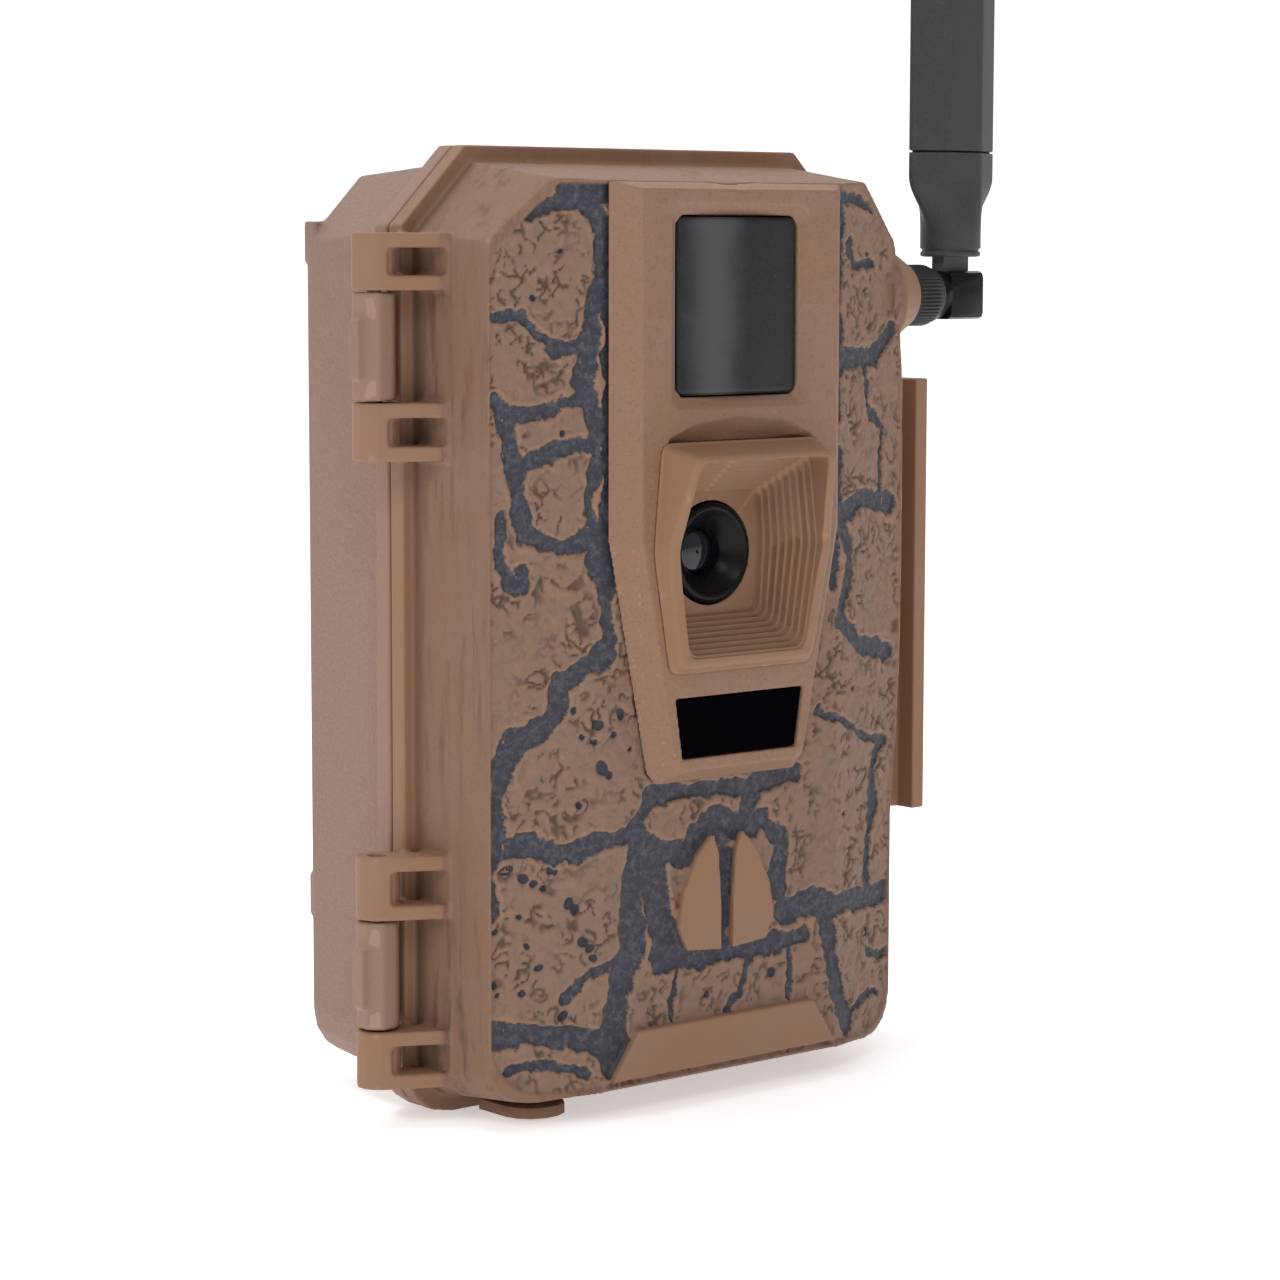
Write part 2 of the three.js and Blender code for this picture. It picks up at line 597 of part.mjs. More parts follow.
function makeFacePanel() {
  const slab = loftY([
    [PANEL_FACE, panelOutline(3.9)], [PANEL_FACE + 0.8, panelOutline(3.2)], [FRONT_FACE - GAP, panelOutline(0)],
  ]);
  const frame = loftY([[PANEL_FACE - 0.1, windowOutline(2)], [PANEL_FACE + 1.3, windowOutline(0.2)]]);
  const brow = loftY([
    [PANEL_FACE - 0.1, browOutline(15.5, 106, 107.6, 111)],
    [PANEL_FACE + 1.9, browOutline(13.5, 106, 106.7, 107.6)],
  ]);
  return slab.subtract(joined([
    frame,
    brow,
    topScoop(),
    prism('Y', windowOutline(0), -34, -25),
    prism('Y', hoodBody(GAP), -34, -25),
    prism('Y', sensorWindowOutline(GAP), PANEL_FACE - 1, PANEL_FACE + 2.1),
    prism('Y', sensorWindowOutline(-1), PANEL_FACE - 1, -25),
  ]));
}

addPart('face_panel', makeFacePanel(), 'smooth');

// The hood leans forwards above the lens like a visor; everything in front of this side profile is cut away.
function hoodFrontCut() {
  const profile = [
    [-50, 60], [-32.2, 60], [-32.7, 71], [-33.3, LENS_Z - 4], [-33.9, LENS_Z + 3], [HOOD_TIP + 0.1, 105.6],
    [HOOD_TIP + 0.1, 112], [-50, 112],
  ];
  return prism('X', profile, -30, 30);
}

function makeLensHood() {
  const outer = loftY([
    [HOOD_TIP, hoodBody(-1.6)], [PANEL_FACE - 0.6, hoodBody(-0.2)],
    [PANEL_FACE, hoodBody(0)], [HOOD_BACK, hoodBody(0)],
  ]).subtract(hoodFrontCut());
  const steps = 8;
  const cuts = [prism('Y', hoodStep(1), HOOD_TIP - 1, FIRST_STEP)];
  for (let i = 0; i < steps; i++) {
    const depth = FIRST_STEP + ((LENS_FLOOR - FIRST_STEP) * (i + 1)) / steps;
    cuts.push(prism('Y', hoodStep(0.93 * (1 - i / steps)), HOOD_TIP - 1, depth));
  }
  cuts.push(rod('Y', LENS_RADIUS + GAP, -30, -20, [0, LENS_Z], 32));
  return outer.subtract(joined(cuts));
}

addPart('lens_hood', makeLensHood(), 'smooth');

// Infrared window: a filter that bows forward across its width
const bow = (x) => -30.7 + 1.1 * (x / WINDOW.halfWidth) ** 2;
const windowArc = [];
for (let i = 0; i <= 8; i++) {
  const x = -WINDOW.halfWidth + GAP + ((2 * WINDOW.halfWidth - 2 * GAP) * i) / 8;
  windowArc.push([x, bow(x)]);
}
const windowProfile = [...windowArc, ...windowArc.map(([x, y]) => [x, y + 1.8]).reverse()];
addPart('ir_window', prism('Z', windowProfile, WINDOW.bottom + GAP, WINDOW.top - GAP)
  .intersect(prism('Y', windowOutline(-GAP), -33, -26)), 'window');
addPart('sensor_window', prism('Y', sensorWindowOutline(0), PANEL_FACE + 0.4, PANEL_FACE + 1.8), 'window');

// Lamp: thirty-six infrared diodes on one board
function makeLamp() {
  const parts = [box([-15.3, 15.3], [-20, -18.4], [111.9, 144.2])];
  for (let column = 0; column < 6; column++) {
    for (let row = 0; row < 6; row++) {
      const x = (column - 2.5) * 4.1;
      const z = (WINDOW.bottom + WINDOW.top) / 2 + (row - 2.5) * 4.5;
      parts.push(turned('Y', [[0, -24.6], [1.1, -24.2], [1.5, -23.2], [1.5, -19.8], [0, -19.8]], [x, 0, z], 8));
    }
  }
  return joined(parts);
}

addPart('ir_led_board', makeLamp(), 'board');

// Lens, day and night filter and sensor
const lensProfile = [
  [7.0, -24.3], [LENS_RADIUS, -23.9], [LENS_RADIUS, -19.4], [6.0, -19.4], [6.0, -15.9], [2.9, -15.9],
  [2.9, -19], [3.9, -19], [3.9, -20.6], [3.7, -20.9], [7.0, -24.3],
];
addPart('lens_barrel', turned('Y', lensProfile, [0, 0, LENS_Z], 32), 'black');
addPart('lens_glass', turned('Y', [[0, -20.5], [1.8, -20.4], [3.3, -19.9], [3.3, -19.4], [0, -19.4]],
  [0, 0, LENS_Z], 20), 'glass');
const holder = box([-10, 10], [-18.8, -13.5], [LENS_Z - 9.5, LENS_Z + 9.5]).subtract(joined([
  rod('Y', 6.35, -20, -15.6, [0, LENS_Z], 24),
  box([-12, 12], [-15.65, -13], [LENS_Z - 4.6, LENS_Z + 4.6]),
]));
addPart('lens_holder', holder, 'black');
addPart('filter_shuttle', box([-9, 5], [-15.35, -14.5], [LENS_Z - 4.2, LENS_Z + 4.2]), 'glass');
addPart('sensor_board', box([-15, 15], [-13.2, -11.6], [LENS_Z - 13, LENS_Z + 13])
  .add(box([-4, 4], [-14.1, -13.1], [LENS_Z - 3.4, LENS_Z + 3.4])), 'board');

// Main board and what stands on its front side
addPart('main_board', prism('Y', [
  [30, 7.5], [32, 9.5], [32, 134], [28, 144.5], [-28, 144.5], [-32, 134], [-32, 9.5], [-30, 7.5],
], BOARD[0], BOARD[1]), 'board');
addPart('motion_sensor', turned('Y', [[0, -15], [4.1, -15], [4.6, -14.6], [4.6, -11.3], [5.1, -11.3], [5.1, -10.5],
  [0, -10.5]], [0, 0, MOTION_SENSOR_Z], 20), 'steel');
addPart('modem_module', box([-3, 27], [-13.3, BOARD[0] - GAP], [16, 48]), 'steel');
addPart('power_socket', box([SOCKET_X - 4.5, SOCKET_X + 4.5], [-18.5, BOARD[0] - GAP], [8.3, 19])
  .subtract(rod('Z', 3.0, 7, 17, [SOCKET_X, ANTENNA.y]))
  .add(rod('Z', 0.9, 10.5, 18, [SOCKET_X, ANTENNA.y], 10)), 'black');

// Antenna socket and its cable to the modem
const socketProfile = [[0, 38.4], [4.6, 38.4], [4.6, 40.6], [3.1, 40.6], [3.1, 56.6], [0, 56.6]];
addPart('antenna_socket', turned('X', socketProfile, [0, ANTENNA.y, ANTENNA.z], 18), 'brass');
const cableRoute = new THREE.CatmullRomCurve3([
  [38.0, -14, 129], [36.4, -14.2, 128.2], [35.6, -14.6, 124], [35.2, -15, 110], [34.8, -15.2, 80],
  [34.2, -15.2, 52], [32.6, -14.6, 38], [29.6, -12.4, 32.4], [27.4, -11.9, 31.8],
].map((point) => new THREE.Vector3(...point)));
const cableSection = new THREE.Shape(circle(0.9, 0, 0, 8).map(([a, b]) => new THREE.Vector2(a, b)));
const cable = new THREE.ExtrudeGeometry(cableSection, { steps: 26, extrudePath: cableRoute, bevelEnabled: false });
addPart('antenna_cable', toSolid(cable), 'black');

// Inner control panel, screwed to four posts
const CARD_BAY = { x: [-36.4, -8], z: [16, 65] };

function makeInnerPanel() {
  const plate = prism('Y', caseOutline(42.5, 5.5, 147.3, 10.2, 6), PANEL_FRONT, PANEL_BACK);
  const holes = [
    box([-22.3, 22.3], [-8, -3], [106.2, 141.3]),
    box(CARD_BAY.x, [-8, -3], CARD_BAY.z),
    box([17, 31], [-8, -3], [58.6, 62.2]),
    ...keySites.map(([, x, z]) => box([x - 3.4, x + 3.4], [-8, -3], [z - 2.9, z + 2.9])),
    ...SCREW_POINTS.map(([x, z]) => rod('Y', 1.6, -8, -3, [x, z], 12)),
  ];
  return plate.subtract(joined(holes));
}

const keySites = [
  ['key_up', 0, KEY_CENTRE_Z + 9], ['key_down', 0, KEY_CENTRE_Z - 9], ['key_left', -10, KEY_CENTRE_Z],
  ['key_right', 10, KEY_CENTRE_Z], ['key_ok', 0, KEY_CENTRE_Z],
];
addPart('inner_panel', makeInnerPanel(), 'black');
for (const [name, x, z] of keySites) {
  const cap = prism('Y', roundedBox(3.1, 2.6, x, z, 0.9), -7.4, -3.5);
  const foot = box([x - 3.9, x + 3.9], [-8.0, -6.9], [z - 3.3, z + 3.3]);
  addPart(name, cap.add(foot), 'grey');
}
addPart('power_switch', box([21.8, 26.2], [-7.4, -3.2], [59, 61.8])
  .add(box([19, 29], [-8.1, -6.85], [57.6, 63.2])), 'grey');

addPart('display', box([-22, 22], [-8.3, -5.4], [106.5, 141])
  .subtract(box([-19.8, 19.8], [-6, -5], [109, 138.8])), 'window');
const SCREW_SEAT = PANEL_BACK + 0.05;
SCREW_POINTS.forEach(([x, z], i) => {
  const profile = [[0, 14], [1.2, 14], [1.2, 0], [2.8, 0], [2.8, -1.2], [2.0, -1.9], [0, -1.9]];
  const screw = turned('Y', profile.map(([r, t]) => [r, -t]), [x, SCREW_SEAT + GAP, z], 12)
    .subtract(box([x - 0.4, x + 0.4], [-3.4, -1], [z - 1.8, z + 1.8]));
  addPart(`panel_screw_${i + 1}`, screw, 'steel');
});

// Memory card and its socket, open downwards
const CARD = { x: [-34.2, -10.2], y: [-7.9, -5.8], z: [28, 60] };
const socketBlock = box([-35.8, -8.6], [-8.3, -5.1], [33, 63])
  .subtract(box([CARD.x[0] - GAP, CARD.x[1] + GAP], [CARD.y[0] - 0.05, CARD.y[1] + GAP], [20, CARD.z[1] + GAP]));
addPart('card_socket', socketBlock, 'steel');
addPart('memory_card', prism('Y', [
  [CARD.x[0], CARD.z[0]], [CARD.x[1], CARD.z[0]], [CARD.x[1], CARD.z[1]], [CARD.x[0] + 4, CARD.z[1]],
  [CARD.x[0], CARD.z[1] - 4],
], CARD.y[0] + 0.25, CARD.y[1]), 'card');

// Leaf springs on the panel that meet the tray's terminals when the case is shut
for (const [name, side] of [['left', -1], ['right', 1]]) {
  const x = side * (columnX(3) + 2.5);
  const leaf = prism('X', [
    [PANEL_BACK + GAP, 103], [PANEL_BACK + 0.9, 103], [PANEL_BACK + 1.2, 105.4], [3.2, 111.5], [3.2, 115.5],
    [2.0, 117.5], [2.6, 115.3], [2.6, 111.8], [PANEL_BACK + GAP, 106],
  ], x - 1.2, x + 1.2);
  addPart(`power_contact_${name}`, leaf, 'brass');
}

// Rubber cover of the power socket, a tongue under the front housing
const tongue = [
  [-5.5, -8.2], [-5.5, -15], [-4.9, -17.2], [-3.4, -19], [-1.2, -20], [1.2, -20], [3.4, -19], [4.6, -17.2],
  [5, -15], [5, -8.2],
].map(([x, y]) => [SOCKET_X + x, y]);
addPart('power_socket_cover', prism('Z', tongue, 0.4, 2.2)
  .add(rod('Z', 2.7, 2, 4.4, [SOCKET_X, ANTENNA.y])), 'smooth');

// ---------------------------------------------------------------------------------------------
// Antenna

const KNURLS = 24;
const knurled = [];
for (let i = 0; i < 2 * KNURLS; i++) {
  const angle = (i * Math.PI) / KNURLS;
  const radius = i % 2 ? 4.95 : 5.25;
  knurled.push([ANTENNA.y + radius * Math.cos(angle), ANTENNA.z + radius * Math.sin(angle)]);
}
const nut = prism('X', knurled, 51.2, 57.2)
  .add(rod('X', 4.7, 57, 58, [ANTENNA.y, ANTENNA.z], 24))
  .subtract(rod('X', 3.45, 50, 57, [ANTENNA.y, ANTENNA.z], 24));
addPart('antenna_nut', nut, 'black');

const { pinX } = ANTENNA;
const elbowBlock = prism('X', roundedBox(3.9, 4.1, ANTENNA.y, ANTENNA.z, 1.1), 59.9, 67.6)
  .add(prism('X', roundedBox(3.5, 3.7, ANTENNA.y, ANTENNA.z, 0.9), 67.5, 68.0));
const elbow = rod('X', 4.1, 58.3, 60, [ANTENNA.y, ANTENNA.z], 24).add(elbowBlock).subtract(joined([
  box([60.1, 70], [ANTENNA.y - 1.8, ANTENNA.y + 1.8], [125.7, 135]),
  rod('Y', 1.3, -17.2, -8, [pinX, ANTENNA.z], 12),
]));
addPart('antenna_elbow', elbow, 'black');
addPart('antenna_pin', rod('Y', 1.0, -17.0, -10.4, [pinX, ANTENNA.z], 12), 'steel');

// The blade's section: a flattened hexagon with a narrow edge at each side
function bladeSection(halfWidth, halfDepth, flat, edge) {
  const points = [
    [halfWidth, -edge], [halfWidth, edge], [halfWidth * 0.68, (halfDepth + edge) / 2], [flat, halfDepth],
    [0, halfDepth], [-flat, halfDepth], [-halfWidth * 0.68, (halfDepth + edge) / 2], [-halfWidth, edge],
    [-halfWidth, -edge], [-halfWidth * 0.68, -(halfDepth + edge) / 2], [-flat, -halfDepth], [0, -halfDepth],
    [flat, -halfDepth], [halfWidth * 0.68, -(halfDepth + edge) / 2],
  ];
  return points.map(([x, y]) => [pinX + x, ANTENNA.y + y]);
}

// The same number of points round a circle, in the same order
function neckSection(radius) {
  const angles = [-5, 5, 40, 65, 90, 115, 140, 175, 185, 220, 245, 270, 295, 320];
  return angles.map((degrees) => {
    const angle = THREE.MathUtils.degToRad(degrees);
    return [pinX + radius * Math.cos(angle), ANTENNA.y + radius * Math.sin(angle)];
  });
}

const BLADE = [9.8, 3.7, 3.6, 0.5];
const SEAM = 153.2;
const antennaBase = joined([
  loftZ([
    [136.6, neckSection(5.0)], [137.2, neckSection(5.2)], [139.6, neckSection(5.2)],
    [148.9, bladeSection(...BLADE)], [SEAM, bladeSection(...BLADE)],
  ]),
  rod('Z', 5.1, 135.5, 136.3, [pinX, ANTENNA.y], 20),
  rod('Z', 4.2, 136, 137, [pinX, ANTENNA.y], 20),
  box([pinX - 3, pinX + 3], [ANTENNA.y - 1.4, ANTENNA.y + 1.4], [ANTENNA.z, 136]),
  rod('Y', 3, ANTENNA.y - 1.4, ANTENNA.y + 1.4, [pinX, ANTENNA.z], 16),
]).subtract(rod('Y', 1.3, -20, -8, [pinX, ANTENNA.z], 12));
addPart('antenna_base', antennaBase, 'antenna');

const antennaSleeve = loftZ([
  [SEAM + GAP, bladeSection(...BLADE)], [ANTENNA.tip - 5, bladeSection(...BLADE)],
  [ANTENNA.tip - 1.4, bladeSection(7.6, 3.0, 2.8, 0.5)], [ANTENNA.tip, bladeSection(5.2, 1.9, 1.9, 0.4)],
]);
addPart('antenna_sleeve', antennaSleeve, 'antenna');

export default group;
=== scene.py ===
"""Looks of the trail camera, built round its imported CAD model. Metres, +Z up, the lens looks along -Y."""
import math

import bmesh
import bpy
import numpy as np
from mathutils import Matrix, Vector


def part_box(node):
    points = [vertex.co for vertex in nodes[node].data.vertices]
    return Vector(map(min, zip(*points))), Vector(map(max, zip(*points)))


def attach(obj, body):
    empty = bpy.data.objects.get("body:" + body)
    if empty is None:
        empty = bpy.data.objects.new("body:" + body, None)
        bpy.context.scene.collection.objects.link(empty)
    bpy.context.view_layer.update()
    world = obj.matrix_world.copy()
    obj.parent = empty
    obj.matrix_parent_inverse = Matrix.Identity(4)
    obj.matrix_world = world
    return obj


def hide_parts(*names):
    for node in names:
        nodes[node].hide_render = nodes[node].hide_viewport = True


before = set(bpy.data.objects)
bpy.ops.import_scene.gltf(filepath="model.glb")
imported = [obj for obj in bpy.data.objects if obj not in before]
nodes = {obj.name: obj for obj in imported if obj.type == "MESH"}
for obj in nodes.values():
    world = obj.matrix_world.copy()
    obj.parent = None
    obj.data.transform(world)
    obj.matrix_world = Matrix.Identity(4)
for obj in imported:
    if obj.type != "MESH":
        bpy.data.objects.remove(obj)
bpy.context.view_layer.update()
MM = 0.001

# ---------------------------------------------------------------------------------------------
# Camera, light and floor

CAMERA_AT = (-0.379, -0.450, 0.1385)
CAMERA_TURN, CAMERA_DOWN, CAMERA_ROLL = 40.5, 6.4, 0.1
CAMERA_LENS = 100.6
WORLD_STRENGTH = 0.40
FLOOR_GLOW = 0.46
LIGHT_AIM = (0, 0, 0.09)
# Square lights as (name, place, side, watts)
LIGHTS = (
    ("key", (-1.25, -0.20, 1.15), 0.6, 5.0),
    ("front", (-0.75, -1.05, 1.20), 0.6, 5.0),
    ("top", (-0.10, 0.35, 1.50), 0.7, 12.0),
)


def make_camera():
    data = bpy.data.cameras.new("camera")
    data.sensor_width = 36
    data.lens = CAMERA_LENS
    data.clip_start, data.clip_end = 0.01, 20
    camera = bpy.data.objects.new("camera", data)
    bpy.context.scene.collection.objects.link(camera)
    turn, down = math.radians(CAMERA_TURN), math.radians(CAMERA_DOWN)
    forward = Vector((math.sin(turn) * math.cos(down), math.cos(turn) * math.cos(down), -math.sin(down)))
    rotation = forward.to_track_quat("-Z", "Y").to_matrix().to_4x4()
    roll = Matrix.Rotation(math.radians(CAMERA_ROLL), 4, "Z")
    camera.matrix_world = Matrix.Translation(CAMERA_AT) @ rotation @ roll
    bpy.context.scene.camera = camera


def area_light(name, at, side, power):
    data = bpy.data.lights.new(name, "AREA")
    data.shape = "RECTANGLE"
    data.size = side
    data.size_y = side
    data.energy = power
    light = bpy.data.objects.new(name, data)
    bpy.context.scene.collection.objects.link(light)
    light.location = at
    light.rotation_euler = (Vector(LIGHT_AIM) - Vector(at)).to_track_quat("-Z", "Y").to_euler()


def make_world():
    world = bpy.data.worlds.new("studio")
    world.use_nodes = True
    background = world.node_tree.nodes["Background"]
    background.inputs["Color"].default_value = (1, 1, 1, 1)
    background.inputs["Strength"].default_value = WORLD_STRENGTH
    bpy.context.scene.world = world


def make_floor(material):
    """A sheet of paper that lies flat under the object and bends up far behind it."""
    mesh = bpy.data.meshes.new("floor")
    near_end, bend_at, bend_radius, bend_steps = -2.5, 1.6, 0.9, 12
    top_edge, half_width = 4.0, 4
    profile = [(near_end, 0.0)]
    for step in range(bend_steps + 1):
        angle = math.radians(90 * step / bend_steps)
        profile.append((bend_at + bend_radius * math.sin(angle), bend_radius * (1 - math.cos(angle))))
    profile.append((bend_at + bend_radius, top_edge))
    turn = math.radians(CAMERA_TURN)
    away = Vector((math.sin(turn), math.cos(turn), 0))
    across = Vector((math.cos(turn), -math.sin(turn), 0))
    points, faces = [], []
    for distance, height in profile:
        for side in (-half_width, half_width):
            points.append(away * distance + across * side + Vector((0, 0, height)))
    for row in range(len(profile) - 1):
        faces.append((2 * row, 2 * row + 1, 2 * row + 3, 2 * row + 2))
    mesh.from_pydata(points, [], faces)
    mesh.polygons.foreach_set("use_smooth", [True] * len(faces))
    mesh.materials.append(material)
    floor = bpy.data.objects.new("floor", mesh)
    bpy.context.scene.collection.objects.link(floor)


# ---------------------------------------------------------------------------------------------
# Noise for relief, the same on every run

class Noise:
    """Smooth gradient noise in three dimensions, from about -1 to 1."""

    def __init__(self, seed):
        source = np.random.RandomState(seed)
        self.order = source.permutation(256)
        slopes = source.normal(size=(256, 3))
        self.slopes = slopes / np.linalg.norm(slopes, axis=1)[:, None]

    def __call__(self, points, scale=1.0):
        points = np.asarray(points, float) * scale
        cell = np.floor(points).astype(int)
        part = points - cell
        ease = part ** 3 * (part * (part * 6 - 15) + 10)
        total = np.zeros(len(points))
        for dx in (0, 1):
            for dy in (0, 1):
                for dz in (0, 1):
                    corner = np.array((dx, dy, dz))
                    key = cell + corner
                    pick = self.order[key[:, 0] & 255]
                    pick = self.order[(pick + key[:, 1]) & 255]
                    pick = self.order[(pick + key[:, 2]) & 255]
                    rise = ((part - corner) * self.slopes[pick]).sum(axis=1)
                    share = np.where(corner == 1, ease, 1 - ease).prod(axis=1)
                    total += rise * share
        return total * 1.5


def ramp(value, low, high):
    share = np.clip((value - low) / (high - low), 0, 1)
    return share * share * (3 - 2 * share)


# ---------------------------------------------------------------------------------------------
# Meshes

def new_object(name, mesh):
    item = bpy.data.objects.new(name, mesh)
    bpy.context.scene.collection.objects.link(item)
    return item


def with_modifiers_applied(item):
    """The object's mesh after its modifiers, which are then gone."""
    depsgraph = bpy.context.evaluated_depsgraph_get()
    mesh = bpy.data.meshes.new_from_object(item.evaluated_get(depsgraph))
    item.modifiers.clear()
    old = item.data
    item.data = mesh
    bpy.data.meshes.remove(old)
    return mesh


def soft_copy(node, name, voxel, rounds):
    """A copy of a CAD node as one even mesh with moulded, slightly rounded edges."""
    mesh = nodes[node].data.copy()
    mesh.materials.clear()
    item = new_object(name, mesh)
    remesh = item.modifiers.new("remesh", "REMESH")
    remesh.mode = "VOXEL"
    remesh.voxel_size = voxel * MM
    smooth = item.modifiers.new("smooth", "SMOOTH")
    smooth.factor = 0.5
    smooth.iterations = rounds
    made = with_modifiers_applied(item)
    made.polygons.foreach_set("use_smooth", [True] * len(made.polygons))
    return item


def coordinates(mesh):
    """Vertex places in millimetres."""
    flat = np.zeros(len(mesh.vertices) * 3, np.float32)
    mesh.vertices.foreach_get("co", flat)
    return flat.reshape(-1, 3).astype(float) / MM


def set_coordinates(mesh, points):
    mesh.vertices.foreach_set("co", (points * MM).astype(np.float32).ravel())
    mesh.update()


def normals(mesh):
    flat = np.zeros(len(mesh.vertices) * 3, np.float32)
    mesh.vertex_normals.foreach_get("vector", flat)
    return flat.reshape(-1, 3).astype(float)


def store(mesh, name, values):
    attribute = mesh.attributes.new(name, "FLOAT", "POINT")
    attribute.data.foreach_set("value", np.asarray(values, np.float32))


def loft(name, rings, closed=False):
    """Joins rings of points, all with the same number, into one skin. Open ends are capped."""
    count = len(rings[0])
    points = [Vector(p) * MM for ring in rings for p in ring]
    faces = []
    rows = len(rings) if closed else len(rings) - 1
    for row in range(rows):
        here, there = row * count, ((row + 1) % len(rings)) * count
        for i in range(count):
            j = (i + 1) % count
            faces.append((here + i, here + j, there + j, there + i))
    if not closed:
        faces.append(tuple(range(count - 1, -1, -1)))
        faces.append(tuple(range((len(rings) - 1) * count, len(rings) * count)))
    mesh = bpy.data.meshes.new(name)
    mesh.from_pydata(points, [], faces)
    tidy = bmesh.new()
    tidy.from_mesh(mesh)
    bmesh.ops.recalc_face_normals(tidy, faces=tidy.faces)
    tidy.to_mesh(mesh)
    tidy.free()
    mesh.polygons.foreach_set("use_smooth", [True] * len(mesh.polygons))
    return new_object(name, mesh)


def spaced_outline(corners, per_side):
    """Points along a closed outline of (a, b) corners, with a set number on each side."""
    points = []
    for (start, end), count in zip(zip(corners, corners[1:] + corners[:1]), per_side):
        for i in range(count):
            t = i / count
            points.append((start[0] + (end[0] - start[0]) * t, start[1] + (end[1] - start[1]) * t))
    return points


def rounded(ring, passes):
    """The ring with its corners worn round by averaging neighbours."""
    ring = np.asarray(ring, float)
    for _ in range(passes):
        ring = (np.roll(ring, 1, axis=0) + 2 * ring + np.roll(ring, -1, axis=0)) / 4
    return ring


def turned(name, profile, centre, count=96):
    """A body turned round the Y axis. The profile is closed: (radius, place on Y), in millimetres."""
    rings = []
    for radius, along in profile:
        ring = []
        for i in range(count):
            angle = 2 * math.pi * i / count
            a, b = radius * math.cos(angle), radius * math.sin(angle)
            ring.append((centre[0] + a, along, centre[1] + b))
        rings.append(ring)
    return loft(name, rings, closed=True)


def keep_flat_faces(item):
    """Flat faces keep flat shading although the edges between them are smooth."""
    weighted = item.modifiers.new("weighted", "WEIGHTED_NORMAL")
    weighted.keep_sharp = True
    weighted.weight = 100


def soften_node(node, width=0.15, angle=32):
    """Rounds the edges of a CAD node that stays in view."""
    item = nodes[node]
    item.data.polygons.foreach_set("use_smooth", [True] * len(item.data.polygons))
    weld = item.modifiers.new("weld", "WELD")
    weld.merge_threshold = 1e-6
    bevel = item.modifiers.new("bevel", "BEVEL")
    bevel.width = width * MM
    bevel.segments = 2
    bevel.limit_method = "ANGLE"
    bevel.angle_limit = math.radians(angle)
    bevel.harden_normals = True


# ---------------------------------------------------------------------------------------------
# Materials

